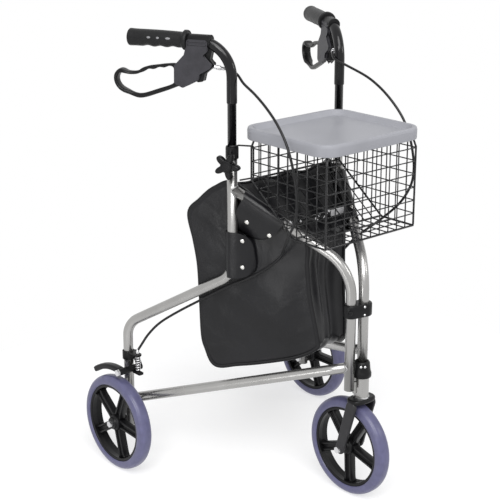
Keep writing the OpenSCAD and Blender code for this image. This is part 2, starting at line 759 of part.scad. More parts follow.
// Star knob: five lobes on a hub, with the screw that clamps the handle tube
knob_hub_r = 12;
knob_lobe_r = 5.5;
knob_lobes = 5;
module star_knob(left) {
    tip = handle_d / 2 + seat_gap;
    base = boss_out + seat_gap;
    color(black) side_plane(left) translate([0, 0, knob_z]) rotate([-90, 0, 0]) {
        translate([0, 0, tip]) cylinder(h = base - tip + knob_t / 2, d = knob_screw_d);
        translate([0, 0, base]) linear_extrude(knob_t) {
            circle(r = knob_hub_r);
            for (i = [0 : knob_lobes - 1]) rotate(360 * i / knob_lobes)
                link([0, 0], [knob_d / 2 - knob_lobe_r, 0], knob_hub_r / 2 + knob_lobe_r / 2, knob_lobe_r);
        }
    }
}

// Brake cable: from the lever housing's nose over the tray's side, under the rear slope and
// down to the brake's ear, as on the right side
basket_x = basket_w / 2;
function side_point(p) = [
    -upright_x - sin(splay) * p.x - cos(splay) * p.y, upright_back + cos(splay) * p.x - sin(splay) * p.y, p.z];
cable_nose = [housing_front, 0, handle_z - housing_depth * housing_share_points_shares[11].y];
cable_ear = [-leg_x, axle_back - ear_reach, ear_z + ear_t + ferrule_d];
// Steps from the nose, in the side plane
cable_from_nose = [[-10, 0, -3.3], [-18, -5, -5.3], [-32, -11.5, -8.3], [-48, -15, -16.3]];
// Distance from the basket's side, place behind the fold axis and height
cable_beside = [
    [12, 195, 815], [14, 162, 800], [17, 128, 781], [19, 98, 758], [21, 74, 732], [22, 58, 704],
    [22, 47, 672], [21, 41, 640], [18, 43, 608], [11, 56, 576], [7, 74, 549]];
// Places on the way under the rear slope
cable_under = [
    [-115, 97, 518], [-104, 122, 490], [-109, 150, 464], [-121, 177, 443], [-136, 205, 426],
    [-150, 233, 409], [-169, 269, 384], [-194, 317, 350], [-214, 354, 320]];
// Steps from the ear
cable_from_ear = [[19, -13, 35], [7, -3, 11], [0, 0, 0]];
cable_route = concat(
    [for (p = cable_from_nose) side_point(cable_nose + p)],
    [for (p = cable_beside) [-basket_x - p.x, p.y, p.z]],
    cable_under,
    [for (p = cable_from_ear) cable_ear + p]);
cable_steps = 2;
ferrule_len = 11;
barrel_len = 7;
module brake_cable(left) {
    color(black) for_side(left) swept(smooth_line(cable_route, cable_steps), cable_d, 8);
    color(bright) side_plane(left) translate([cable_nose.x - ferrule_len - seat_gap, 0, cable_nose.z - ferrule_d / 2])
        rotate([0, 90, 0]) cylinder(h = ferrule_len, d = ferrule_d);
    color(bright) for_side(left) translate([-leg_x, axle_back - ear_reach, ear_z + ear_t + seat_gap])
        cylinder(h = barrel_len, d = ferrule_d);
}

// Fork: crown plate under the head tube and two swept-back legs
crown_r = 19;
leg_top_r = 13;
leg_low_r = 11;
leg_top_y_share = 0.02;
module fork() {
    leg_x0 = fork_gap / 2;
    top = [trail * leg_top_y_share, crown_top_z - leg_top_r];
    color(charcoal) from_axis() difference() {
        union() {
            translate([0, 0, crown_top_z - crown_t]) linear_extrude(crown_t) {
                circle(r = crown_r);
                translate([-leg_x0 - fork_plate, top.x - leg_top_r])
                    square([fork_gap + 2 * fork_plate, 2 * leg_top_r]);
            }
            for (x = [-leg_x0 - fork_plate, leg_x0]) translate([x, 0, 0]) cross_sheet(fork_plate)
                link(top, [trail, wheel_r], leg_top_r, leg_low_r);
        }
        translate([0, trail, wheel_r]) cross_rod(-wheel_r, wheel_r, axle_d + 2 * run_fit);
        translate([0, 0, crown_top_z - crown_t - overrun]) cylinder(h = crown_t + 2 * overrun, d = stem_d + 2 * run_fit);
    }
}
stem_nut_d = 19;
stem_nut_t = 6;
stem_flange_t = 1.6;
module fork_stem() {
    low = crown_top_z - crown_t;
    color(bright) from_axis() {
        translate([0, 0, low - seat_gap - stem_flange_t]) cylinder(h = stem_flange_t, d = stem_nut_d);
        translate([0, 0, low - seat_gap]) cylinder(h = head_top_z + seat_gap - low + stem_nut_t, d = stem_d);
        translate([0, 0, head_top_z + seat_gap]) hexagon(stem_nut_d, stem_nut_t);
    }
}
spacer_d = 14;
module front_axle() {
    outer = fork_gap / 2 + fork_plate + seat_gap;
    color(bright) from_axis() translate([0, trail, wheel_r]) {
        cross_rod(-outer - nut_t / 2, outer + nut_t / 2, axle_d);
        translate([outer, 0, 0]) rotate([0, 90, 0]) hexagon(bolt_head_d, nut_t);
        translate([-outer - nut_t, 0, 0]) rotate([0, 90, 0]) hexagon(bolt_head_d, nut_t);
        cross_rod(hub_len / 2 + seat_gap, fork_gap / 2 - seat_gap, spacer_d);
        cross_rod(-fork_gap / 2 + seat_gap, -hub_len / 2 - seat_gap, spacer_d);
    }
}

// Wheels: a moulded rim with ribbed spokes and a solid tyre
rib_share = 0.26;
web_share = 0.36;
rim_lip_share = 0.35;
tyre_turns = 40;
tyre_power_share = 0.62;
rim_r = wheel_r - tyre_depth;
module rim() {
    inner_r = rim_r - rim_depth;
    rib = spoke_w * rib_share;
    spoke_from = hub_d / 3;
    spoke_run = inner_r + rim_depth / 2 - spoke_from;
    color(black) difference() {
        union() {
            rotate([0, 90, 0]) rotate_extrude() polygon([
                [inner_r, -rim_w / 2], [rim_r - run_fit, -rim_w / 2], [rim_r - run_fit, rim_w / 2], [inner_r, rim_w / 2],
                [inner_r + rim_depth * rim_lip_share, 0]]);
            cross_rod(-hub_len / 2, hub_len / 2, hub_d);
            for (i = [0 : spoke_count - 1]) rotate([90 + 360 * i / spoke_count, 0, 0]) {
                translate([-spoke_t * web_share / 2, -spoke_w / 2, spoke_from])
                    cube([spoke_t * web_share, spoke_w, spoke_run]);
                for (y = [-spoke_w / 2, spoke_w / 2 - rib])
                    translate([-spoke_t / 2, y, spoke_from]) cube([spoke_t, rib, spoke_run]);
            }
        }
        cross_rod(-hub_len, hub_len, axle_d + 2 * run_fit);
    }
}
function rounded(v) = sign(v) * pow(abs(v), tyre_power_share);
module tyre() {
    color(violet) rotate([0, 90, 0]) rotate_extrude() intersection() {
        polygon([for (i = [0 : tyre_turns - 1]) let (a = 360 * i / tyre_turns)
            [rim_r + tyre_depth * rounded(cos(a)), tyre_w / 2 * rounded(sin(a))]]);
        translate([rim_r + run_fit, -tyre_w]) square([tyre_depth + overrun, 2 * tyre_w]);
    }
}
module at_front() { from_axis() translate([0, trail, wheel_r]) children(); }
module at_rear(left) { for_side(left) translate([-track / 2, axle_back, wheel_r]) children(); }

// Basket: wire nets for the front, back, slope, floor and sides, with hooks on the uprights
tray_floor_z = tray_low_z + tray_h - tray_recess - tray_wall;
basket_top_z = tray_floor_z - seat_gap;
slope_step = [basket_back_y - basket_floor_y, basket_slope_z - basket_floor_z];
slope_len = norm(slope_step);
slope_lean = atan2(slope_step.y, slope_step.x);
function counted(length) = max(1, round(length / wire_pitch));
// A flat net inside a rectangle, one wire thick
module net(w, h) {
    cols = counted(w);
    rows = counted(h);
    hole = [(w - wire_t) / cols - wire_t, (h - wire_t) / rows - wire_t];
    linear_extrude(wire_t) difference() {
        square([w, h]);
        for (i = [0 : cols - 1], j = [0 : rows - 1])
            translate([wire_t + i * (hole.x + wire_t), wire_t + j * (hole.y + wire_t)]) square(hole);
    }
}
// The room beside the tray's rounded skirt, which the basket's corners keep out of
module beside_skirt() {
    inner_w = tray_w - 2 * tray_wall - 2 * run_fit;
    inner_l = tray_len - 2 * tray_wall - 2 * run_fit;
    from_axis() translate([0, tray_front, tray_low_z - seat_gap]) difference() {
        translate([-tray_w, -tray_len / 2, 0]) cube([2 * tray_w, 2 * tray_len, tray_h]);
        translate([0, tray_wall + run_fit, -overrun])
            rounded_block(inner_w, inner_l, tray_h + 2 * overrun, tray_corner_r - tray_wall);
    }
}
module basket_front() {
    color(black) difference() {
        from_axis() translate([-basket_x, basket_front_y + wire_t, basket_floor_z]) rotate([90, 0, 0])
            net(basket_w, basket_top_z - basket_floor_z);
        beside_skirt();
    }
}
module basket_back() {
    color(black) difference() {
        from_axis() translate([-basket_x, basket_back_y, basket_slope_z]) rotate([90, 0, 0])
            net(basket_w, basket_top_z - basket_slope_z);
        beside_skirt();
    }
}
module basket_slope() {
    inner_w = basket_w - 2 * wire_t;
    trim = wire_t * tan(slope_lean) + seat_gap;
    color(black) from_axis() translate([-inner_w / 2, basket_floor_y, basket_floor_z]) rotate([slope_lean, 0, 0])
        translate([0, trim, 0]) net(inner_w, slope_len - trim - wire_t / tan(slope_lean));
}
module basket_floor() {
    inner_w = basket_w - 2 * wire_t;
    color(black) from_axis() translate([-inner_w / 2, basket_front_y + wire_t, basket_floor_z])
        net(inner_w, basket_floor_y - basket_front_y - wire_t);
}
module basket_side(left) {
    front = basket_front_y + wire_t;
    run = basket_back_y - wire_t - front;
    rise = basket_top_z - basket_floor_z;
    cols = counted(run);
    rows = counted(rise);
    hole = [(run - wire_t) / cols - wire_t, (rise - wire_t) / rows - wire_t];
    lean = slope_step.y / slope_step.x;
    slope_y = wire_t / cos(slope_lean);
    floor_run = basket_floor_y - front;
    color(black) difference() {
        for_side(left) translate([-basket_x, front, basket_floor_z]) cross_sheet(wire_t) difference() {
            polygon([[0, 0], [floor_run, 0], [run, (run - floor_run) * lean], [run, rise], [0, rise]]);
            intersection() {
                polygon([[0, wire_t], [floor_run - wire_t, wire_t], [run, (run - floor_run) * lean + slope_y + wire_t * lean],
                    [run, rise], [0, rise]]);
                for (i = [0 : cols - 1], j = [0 : rows - 1])
                    translate([wire_t + i * (hole.x + wire_t), wire_t + j * (hole.y + wire_t)]) square(hole);
            }
        }
        beside_skirt();
    }
}
// Hooks: each runs from the basket's back corner to the front of the handle tube, bends round
// its outer side and lies on the collar; a second wire below props against the upright
hook_gap = 0.6;
hook_sweep = 95;
hook_steps = 8;
prop_gap = 6;
prop_z = knob_z - knob_d / 2 - prop_gap;
hook_inset_share = 0.04;
module basket_hooks() {
    hook_r = sleeve_d / 2 + hook_gap + hook_d / 2;
    prop_r = collar_d / 2 + hook_gap + hook_d / 2;
    hook_z = collar_top_z + hook_seat + hook_d / 2;
    away = atan2(upright_back, upright_x);
    corner = [-basket_x + basket_w * hook_inset_share, basket_back_y + hook_d / 2 + seat_gap];
    low = [corner.x, corner.y, prop_z];
    high = [corner.x, corner.y, hook_z];
    wire = concat(
        [[prop_r * cos(away) - upright_x, upright_back - prop_r * sin(away), prop_z], low, high],
        [for (i = [0 : hook_steps]) let (a = -away - hook_sweep * i / hook_steps)
            [hook_r * cos(a) - upright_x, upright_back + hook_r * sin(a), hook_z]]);
    color(black) for (left = [false, true]) for_side(left) swept(wire, hook_d, 8);
}

// Tray: a shallow dish with a skirt that sits over the basket's rim
tray_lip_share = 0.055;
module rounded_block(w, l, h, r) {
    linear_extrude(h) {
        translate([-w / 2 + r, 0]) square([w - 2 * r, l]);
        translate([-w / 2, r]) square([w, l - 2 * r]);
        for (x = [-w / 2 + r, w / 2 - r], y = [r, l - r]) translate([x, y]) circle(r = r);
    }
}
module tray() {
    lip = tray_w * tray_lip_share;
    color(pale) from_axis() translate([0, tray_front, tray_low_z]) difference() {
        rounded_block(tray_w, tray_len, tray_h, tray_corner_r);
        translate([0, tray_wall, -overrun])
            rounded_block(tray_w - 2 * tray_wall, tray_len - 2 * tray_wall,
                tray_floor_z - tray_low_z + overrun, tray_corner_r - tray_wall);
        translate([0, lip, tray_floor_z + tray_wall - tray_low_z])
            rounded_block(tray_w - 2 * lip, tray_len - 2 * lip, tray_h, tray_corner_r - lip / 2);
    }
}

// Bag: two side panels on the frames' inner faces, joined by a strip along the front, the
// bottom and the back; the top is open behind the uprights
bag_outline_shares = [
    [0.362, 1.000], [0.62, 0.880], [0.890, 0.755], [0.915, 0.600], [0.940, 0.432], [1.000, 0.221], [0.985, 0.170],
    [0.830, 0.110], [0.555, 0.053], [0.362, 0.022], [0.234, 0.000], [0.170, 0.018], [0.128, 0.084], [0.098, 0.160],
    [0.085, 0.360], [0.072, 0.545], [0.040, 0.679], [0.000, 0.821], [0.087, 0.895], [0.204, 0.966]];
bag_open_from = 17;
bag_centre_share = 0.5;
panel_gap = cloth_t + 2 * soft_gap;
panel_off = tube_r + panel_gap;
bag_low_z = bag_top_z - bag_h;
// Distance forward of the upright and height of a point given in shares
function bag_forward(p) = p.x * bag_len - bag_back;
function bag_height(p) = bag_low_z + p.y * bag_h;
// Plan place of a bag point, so far inside the frame's plane
function bag_place(left, p, inset) = let (
        f = bag_forward(p),
        step = front_step(left),
        ahead = -unit([step.x, step.y]),
        behind = (left ? 1 : -1) * [sin(splay), 0] + [0, cos(splay)],
        side = left ? 1 : -1,
        inward_a = side * [ahead.y, -ahead.x],
        inward_b = [-side * cos(splay), sin(splay)],
        blend = unit(inward_a + inward_b),
        base = [side * upright_x, upright_back],
        plan = abs(f) < seat_gap ? base + blend * inset / (blend * inward_b)
            : f > 0 ? base + ahead * f + inward_a * inset
            : base - behind * f + inward_b * inset)
    [plan.x, plan.y - mid_y, bag_height(p)];
module bag_panel(left) {
    o = bag_outline_shares;
    n = len(o);
    centre = [bag_back / bag_len, bag_centre_share];
    pts = [for (inset = [panel_off, panel_off + cloth_t], p = concat(o, [centre])) bag_place(left, p, inset)];
    faces = [for (i = [0 : n - 1]) let (j = (i + 1) % n, m = n + 1) each [
        [n, i, j], [m + n, m + j, m + i], [i, m + i, j], [j, m + i, m + j]]];
    color(vinyl) polyhedron(pts, left ? faces : [for (f = faces) [f[0], f[2], f[1]]]);
}
// A point of the outline moved towards the bag's middle by the cloth's thickness
function outline_inner(i) = let (
        o = bag_outline_shares,
        n = len(o),
        flat = function (k) [o[(k + n) % n].x * bag_len, o[(k + n) % n].y * bag_h],
        u = unit(flat(i) - flat(i - 1)),
        w = unit(flat(i + 1) - flat(i)),
        across = [u.y + w.y, -u.x - w.x],
        moved = flat(i) + unit(across) * cloth_t)
    [moved.x / bag_len, moved.y / bag_h];
module bag_gusset() {
    inset = panel_off + cloth_t + soft_gap;
    last = bag_open_from;
    pts = [for (i = [0 : last]) each [
        bag_place(false, bag_outline_shares[i], inset), bag_place(true, bag_outline_shares[i], inset),
        bag_place(false, outline_inner(i), inset), bag_place(true, outline_inner(i), inset)]];
    color(vinyl) polyhedron(pts, concat(
        [for (i = [0 : last - 1]) let (a = 4 * i, b = 4 * i + 4) each [
            [a, a + 1, b], [b, a + 1, b + 1], [a + 2, b + 2, a + 3], [a + 3, b + 2, b + 3],
            [a, b, a + 2], [a + 2, b, b + 2], [a + 1, a + 3, b + 1], [a + 3, b + 3, b + 1]]],
        [[0, 2, 1], [1, 2, 3], [4 * last, 4 * last + 1, 4 * last + 2], [4 * last + 1, 4 * last + 3, 4 * last + 2]]));
}

// Flaps: loops of vinyl that wrap the front tube and the upright and snap back on the panel
flap_from = 38;
flap_tip_r = 3;
wrap_low_z = 470;
wrap_h = 58;
wrap_reach = 28;
stud_t = 3;
stud_share = 0.8;
stud_along_shares = [0.14, 0.86];
module flap_section(out, reach) {
    tip = [reach, out * (flap_tip_r + soft_gap - panel_off)];
    outer = tube_r + soft_gap + cloth_t;
    difference() {
        polygon(link_outline([0, 0], tip, outer, flap_tip_r));
        polygon(link_outline([0, 0], tip, outer - cloth_t, flap_tip_r / 4));
    }
}
function front_lean(left) = atan2(weld_z - front_bend_z, front_run(left));
// Along the front tube: z runs up the tube from the flap's lower end, x points down from it
module on_front_tube(left) {
    lean = front_lean(left);
    from = flap_from + flap_len;
    front_plane(left) translate([front_run(left) - from * cos(lean), 0, weld_z - from * sin(lean)])
        rotate([0, 90 - lean, 0]) children();
}
module on_upright(left) {
    side_plane(left) translate([0, 0, wrap_low_z]) rotate([0, 0, 180]) children();
}
module bag_flaps(left) {
    color(vinyl) {
        on_front_tube(left) linear_extrude(flap_len) flap_section(left ? -1 : 1, flap_drop);
        on_upright(left) linear_extrude(wrap_h) flap_section(-1, wrap_reach);
    }
}
// Snap studs near the flaps' lower edges, two on each flap
module stud(out, reach) {
    outer = tube_r + soft_gap + cloth_t;
    tip = [reach, flap_tip_r + soft_gap - panel_off];
    lean = asin((outer - flap_tip_r) / norm(tip)) + atan2(-tip.y, tip.x);
    foot = [outer * sin(lean), outer * cos(lean)] + stud_share * reach * [cos(lean), -sin(lean)];
    translate([foot.x, out * foot.y, 0]) rotate([0, 0, -out * lean]) rotate([-out * 90, 0, 0])
        translate([0, 0, seat_gap]) cylinder(h = stud_t, d1 = stud_d, d2 = stud_d / 2);
}
module bag_studs(left) {
    color(bright) for (k = stud_along_shares) {
        on_front_tube(left) translate([0, 0, k * flap_len]) stud(left ? -1 : 1, flap_drop);
        on_upright(left) translate([0, 0, k * wrap_h]) stud(-1, wrap_reach);
    }
}

main_tube(false);  // right_main_tube
front_tube(false);  // right_front_tube
lower_bar(false);  // right_lower_bar
head_tube();
head_bearings();
hinge_knuckle();
pivot_cap();
rear_axle(false);  // right_axle
collar(false);  // right_collar
brake_bracket(false);  // right_brake_bracket
brake_spring(false);  // right_brake_spring
bag_panel(false);  // right_bag_panel
bag_flaps(false);  // right_bag_flaps
bag_studs(false);  // right_bag_studs
main_tube(true);  // left_main_tube
front_tube(true);  // left_front_tube
lower_bar(true);  // left_lower_bar
rear_axle(true);  // left_axle
collar(true);  // left_collar
brake_bracket(true);  // left_brake_bracket
brake_spring(true);  // left_brake_spring
bag_panel(true);  // left_bag_panel
bag_flaps(true);  // left_bag_flaps
bag_studs(true);  // left_bag_studs
bag_gusset();
handle_tube(false);  // right_handle_tube
grip(false);  // right_grip
lever_housing(false);  // right_lever_housing
brake_lever(false);  // right_brake_lever
lever_pin(false);  // right_lever_pin
handle_tube(true);  // left_handle_tube
grip(true);  // left_grip
lever_housing(true);  // left_lever_housing
brake_lever(true);  // left_brake_lever
lever_pin(true);  // left_lever_pin
star_knob(false);  // right_star_knob
star_knob(true);  // left_star_knob
brake_shoe(false);  // right_brake_shoe
brake_shoe(true);  // left_brake_shoe
brake_bolt(false);  // right_brake_bolt
brake_bolt(true);  // left_brake_bolt
brake_cable(false);  // right_brake_cable
brake_cable(true);  // left_brake_cable
fork();
fork_stem();
front_axle();
at_front() rim();  // front_rim
at_front() tyre();  // front_tyre
at_rear(false) rim();  // right_rim
at_rear(false) tyre();  // right_tyre
at_rear(true) rim();  // left_rim
at_rear(true) tyre();  // left_tyre
basket_front();
basket_back();
basket_slope();
basket_floor();
basket_side(false);  // basket_right
basket_side(true);  // basket_left
basket_hooks();
tray();
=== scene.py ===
"""Looks of a three wheel rollator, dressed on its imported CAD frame. Lengths are in metres."""
import math

import bpy
import numpy as np
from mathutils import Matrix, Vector


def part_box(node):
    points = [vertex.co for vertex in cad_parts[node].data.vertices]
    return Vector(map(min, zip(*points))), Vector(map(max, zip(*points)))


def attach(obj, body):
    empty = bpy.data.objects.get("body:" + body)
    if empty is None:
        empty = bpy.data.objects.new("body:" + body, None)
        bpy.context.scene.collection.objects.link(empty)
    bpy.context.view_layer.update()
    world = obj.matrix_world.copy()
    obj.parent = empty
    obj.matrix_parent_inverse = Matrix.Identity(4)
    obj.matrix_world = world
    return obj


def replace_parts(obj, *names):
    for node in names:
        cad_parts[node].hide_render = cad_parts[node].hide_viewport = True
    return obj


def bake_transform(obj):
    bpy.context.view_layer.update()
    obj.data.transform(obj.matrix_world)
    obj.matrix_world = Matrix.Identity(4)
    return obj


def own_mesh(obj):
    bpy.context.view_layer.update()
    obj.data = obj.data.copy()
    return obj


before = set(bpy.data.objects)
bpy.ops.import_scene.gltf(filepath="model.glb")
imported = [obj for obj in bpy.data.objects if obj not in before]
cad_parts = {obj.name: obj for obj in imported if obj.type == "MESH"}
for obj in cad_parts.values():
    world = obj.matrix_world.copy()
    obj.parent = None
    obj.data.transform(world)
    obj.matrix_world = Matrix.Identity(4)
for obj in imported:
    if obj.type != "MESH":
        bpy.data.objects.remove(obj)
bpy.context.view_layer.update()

# Side frames: each is one bent aluminium tube from the upright's top down to the rear leg, a front
# tube that bends into the front post, and a straight lower bar, all with a satin anodised finish.
# The tubes are mitred and welded to each other, with a thin bead round every joint.
RIGHT, LEFT = -1, 1
SIDES = ((RIGHT, "right"), (LEFT, "left"))
UP = np.array([0, 0, 1.0])
tube_r, tube_sides = 0.010, 32
upright_x, upright_y = 0.141, -0.007
leg_x, leg_y = 0.247, 0.196
fold_y = -0.224
right_post = np.array([-0.02905, fold_y + 0.00512])
left_post = np.array([0.0, fold_y])
upright_top_z, elbow_z = 0.683, 0.438
leg_bend_z, leg_end_z = 0.308, 0.086
weld_z, front_bend_z = 0.612, 0.479
post_end_z = {RIGHT: 0.234, LEFT: 0.2662}
bar_rear_z, bar_front_z = 0.143, {RIGHT: 0.281, LEFT: 0.310}
bend_r, front_bend_r = 0.045, 0.095
bead_r, bead_stand_off = 0.0016, 1.02
frame_run = np.array([leg_x - upright_x, leg_y - upright_y])
leg_s = np.linalg.norm(frame_run)
splay_sin, splay_cos = frame_run / leg_s


def unit(v):
    """A vector, or each row of an array of them, divided by its length."""
    return v / np.linalg.norm(v, axis=-1, keepdims=True)


def on_side(side, local):
    """Points (back along the frame, outwards, up) of a side plane, laid out from that side's upright."""
    s, out, z = np.moveaxis(np.asarray(local, float), -1, 0)
    x = side * (upright_x + splay_sin * s + splay_cos * out)
    return np.stack([x, upright_y + splay_cos * s - splay_sin * out, z], -1)


def front_axis(side):
    """Post place, unit steps from the post to the upright and outwards, and the distance between them."""
    post = left_post if side == LEFT else right_post
    reach = np.array([side * upright_x, upright_y]) - post
    step = unit(reach)
    return post, step, side * np.array([step[1], -step[0]]), np.linalg.norm(reach)


def on_front(side, local):
    """Points (towards the upright, outwards, up) of a front plane, laid out from that side's post."""
    post, step, outward, _ = front_axis(side)
    x, out, z = np.moveaxis(np.asarray(local, float), -1, 0)
    plan = post + x[..., None] * step + out[..., None] * outward
    return np.concatenate([plan, z[..., None]], -1)


def corner_arc(p, q, r, radius, steps, room=math.inf):
    """The bend at corner q of the lines p-q-r: centre + size (cos t, sin t). The size is the radius, or
    less where the bend would take up more than this share of the shorter line."""
    u, w = unit(q - p), unit(r - q)
    turn = math.acos(float(np.clip(u @ w, -1, 1)))
    nearly_straight = 0.05
    if turn < nearly_straight:
        return q[None]
    shorter = min(np.linalg.norm(q - p), np.linalg.norm(r - q))
    size = min(radius, room * shorter / math.tan(turn / 2))
    inward = unit(w - u)
    t = np.linspace(-turn / 2, turn / 2, steps)[:, None]
    centre = q + inward * size / math.cos(turn / 2)
    return centre + size * (-inward * np.cos(t) + unit(u + w) * np.sin(t))


def rounded_path(corners, radius, steps=10, room=math.inf):
    """An open path through corners, with an arc at each corner between its two ends."""
    c = np.asarray(corners, float)
    bends = [corner_arc(p, q, r, radius, steps, room) for p, q, r in zip(c[:-2], c[1:-1], c[2:])]
    return np.concatenate([c[:1], *bends, c[-1:]])


def tube_grid(path, across, radius, sides=24, flat=1.0):
    """Rings round a path: point = p + r (cos a N + flat sin a B), N the part of across square to the path."""
    p = np.asarray(path, float)
    t = unit(np.gradient(p, axis=0))
    across = np.broadcast_to(np.asarray(across, float), p.shape)
    n = unit(across - (across * t).sum(-1, keepdims=True) * t)
    b = np.cross(t, n)
    a = np.linspace(0, 2 * np.pi, sides, endpoint=False)
    r = np.broadcast_to(np.asarray(radius, float), p.shape[:1])[:, None, None]
    ring = np.cos(a)[None, :, None] * n[:, None] + flat * np.sin(a)[None, :, None] * b[:, None]
    return p[:, None] + r * ring


def grid_faces(rows, cols, wrap, loop, caps, start=0):
    """Quads between the neighbours in a grid of points (k along, j round) whose first point has this
    index, and a flat cap on the first and the last ring where asked for."""
    k = np.arange(rows if loop else rows - 1)[:, None]
    j = np.arange(cols if wrap else cols - 1)[None, :]
    k1, j1 = (k + 1) % rows, (j + 1) % cols
    quads = np.stack([k * cols + j, k * cols + j1, k1 * cols + j1, k1 * cols + j], -1)
    faces = (start + quads.reshape(-1, 4)).tolist()
    if caps[0]:
        faces.append(list(range(start + cols - 1, start - 1, -1)))
    if caps[1]:
        faces.append(list(range(start + (rows - 1) * cols, start + rows * cols)))
    return faces


def mesh_piece(name, points, faces, finish):
    """A piece with smooth quads and flat caps, its place in its mesh."""
    mesh = bpy.data.meshes.new(name)
    mesh.from_pydata(points.tolist(), [], faces)
    mesh.polygons.foreach_set("use_smooth", [len(face) == 4 for face in faces])
    mesh.materials.append(finish)
    piece = bpy.data.objects.new(name, mesh)
    bpy.context.scene.collection.objects.link(piece)
    return piece


def surface_mesh(name, grid, finish, wrap=True, loop=False, caps=None, flip=False):
    """A piece from a grid of points (k along, j round). Rings that don't run back to the first one are
    capped at both ends, unless caps says which. With flip its faces look the other way."""
    g = np.asarray(grid, float)
    if flip:
        g = g[:, ::-1]
    if caps is None:
        caps = (wrap and not loop, wrap and not loop)
    return mesh_piece(name, g.reshape(-1, 3), grid_faces(*g.shape[:2], wrap, loop, caps), finish)


def side_mesh(side, name, local, finish, loop=False, flip=False):
    """A piece laid out on a side plane. The left one is mirrored, so its faces are turned back."""
    return surface_mesh(name, on_side(side, local), finish, loop=loop, flip=(side == LEFT) != flip)


def textured(name, colour, roughness, metallic=0.0, vary=0.15, patch=60.0, grain=1500.0, depth=0.0002,
             rough_vary=0.08, stretch=(1, 1, 1), coat=0.0, specular=0.5):
    """A finish whose colour and roughness drift over patches, with a fine grain as bump."""
    finish = bpy.data.materials.new(name)
    finish.use_nodes = True
    tree = finish.node_tree
    shader = tree.nodes["Principled BSDF"]
    shader.inputs["Metallic"].default_value = metallic
    shader.inputs["Coat Weight"].default_value = coat
    shader.inputs["Specular IOR Level"].default_value = specular
    place = tree.nodes.new("ShaderNodeTexCoord")
    mapping = tree.nodes.new("ShaderNodeMapping")
    mapping.inputs["Scale"].default_value = stretch
    tree.links.new(place.outputs["Object"], mapping.inputs["Vector"])
    drift, fine = (tree.nodes.new("ShaderNodeTexNoise") for _ in range(2))
    for noise, scale, detail in ((drift, patch, 4), (fine, grain, 3)):
        noise.inputs["Scale"].default_value = scale
        noise.inputs["Detail"].default_value = detail
        tree.links.new(mapping.outputs["Vector"], noise.inputs["Vector"])
    ramp = tree.nodes.new("ShaderNodeValToRGB")
    for element, position, share in zip(ramp.color_ramp.elements, (0.3, 0.7), (1 - vary, 1 + vary)):
        element.position = position
        element.color = (*[min(1, c * share) for c in colour], 1)
    tree.links.new(drift.outputs["Fac"], ramp.inputs["Fac"])
    tree.links.new(ramp.outputs["Color"], shader.inputs["Base Color"])
    rough = tree.nodes.new("ShaderNodeMapRange")
    rough.inputs["To Min"].default_value = max(0.02, roughness - rough_vary)
    rough.inputs["To Max"].default_value = min(1, roughness + rough_vary)
    tree.links.new(drift.outputs["Fac"], rough.inputs["Value"])
    tree.links.new(rough.outputs["Result"], shader.inputs["Roughness"])
    bump = tree.nodes.new("ShaderNodeBump")
    bump.inputs["Distance"].default_value = depth
    bump.inputs["Strength"].default_value = 0.6
    tree.links.new(fine.outputs["Fac"], bump.inputs["Height"])
    tree.links.new(bump.outputs["Normal"], shader.inputs["Normal"])
    return finish


def weld_bead(start, step, across):
    """The seam of a tube on a post of the same size: each line of the tube, at angle a round it, runs
    out from the post's axis until it is just past one post radius away from it."""
    a = np.linspace(0, 2 * np.pi, 48, endpoint=False)
    n = unit(across - (across @ step) * step)
    b = np.cross(step, n)
    off = tube_r * (np.cos(a)[:, None] * n + np.sin(a)[:, None] * b)
    flat_step = step[:2]
    size = flat_step @ flat_step
    mid = off[:, :2] @ flat_step
    room = mid ** 2 - size * ((off[:, :2] ** 2).sum(-1) - (tube_r * bead_stand_off) ** 2)
    reach = (-mid + np.sqrt(np.maximum(room, 0))) / size
    return start + off + reach[:, None] * step


anodised = textured("anodised aluminium", (0.37, 0.366, 0.358), 0.28, metallic=0.95, vary=0.06, patch=25,
                    grain=900, depth=0.00005, rough_vary=0.06, stretch=(1, 1, 0.15))
weld_metal = textured("weld bead", (0.36, 0.36, 0.36), 0.45, metallic=0.9, patch=300, grain=700, depth=0.0003)
for side, word in SIDES:
    body = word + "_frame"
    main = rounded_path([[0, 0, upright_top_z], [0, 0, elbow_z], [leg_s, 0, leg_bend_z],
                         [leg_s, 0, leg_end_z]], bend_r, 14)
    local = tube_grid(main, [0, 1, 0], tube_r, tube_sides)
    tube = side_mesh(side, word + "_side_tube", local, anodised)
    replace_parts(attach(tube, body), word + "_main_tube")
    post, step, _, run = front_axis(side)
    front = rounded_path([[0, 0, post_end_z[side]], [0, 0, front_bend_z], [run, 0, weld_z]], front_bend_r, 18)
    grid = on_front(side, tube_grid(front, [0, 1, 0], tube_r, tube_sides))
    tube = surface_mesh(word + "_front_post", grid, anodised, flip=side == LEFT)
    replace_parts(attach(tube, body), word + "_front_tube")
    low = np.array([side * leg_x, leg_y, bar_rear_z])
    high = np.array([*post, bar_front_z[side]])
    bar = tube_grid(np.linspace(low, high, 12), UP, tube_r, tube_sides)
    tube = surface_mesh(word + "_bar", bar, anodised)
    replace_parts(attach(tube, body), word + "_lower_bar")
    upright = np.array([side * upright_x, upright_y, weld_z])
    slope = unit(np.array([*(-step), (front_bend_z - weld_z) / run]))
    seams = ((low, unit(high - low)), (high, unit(low - high)), (upright, slope))
    for number, (start, way) in enumerate(seams):
        seam = weld_bead(start, way, UP)
        ring = np.concatenate([seam, seam[:1]])
        grid = tube_grid(ring, unit(ring - start), bead_r, 8)[:-1]
        bead = surface_mesh(f"{word}_weld_{number}", grid, weld_metal, loop=True)
        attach(bead, body)

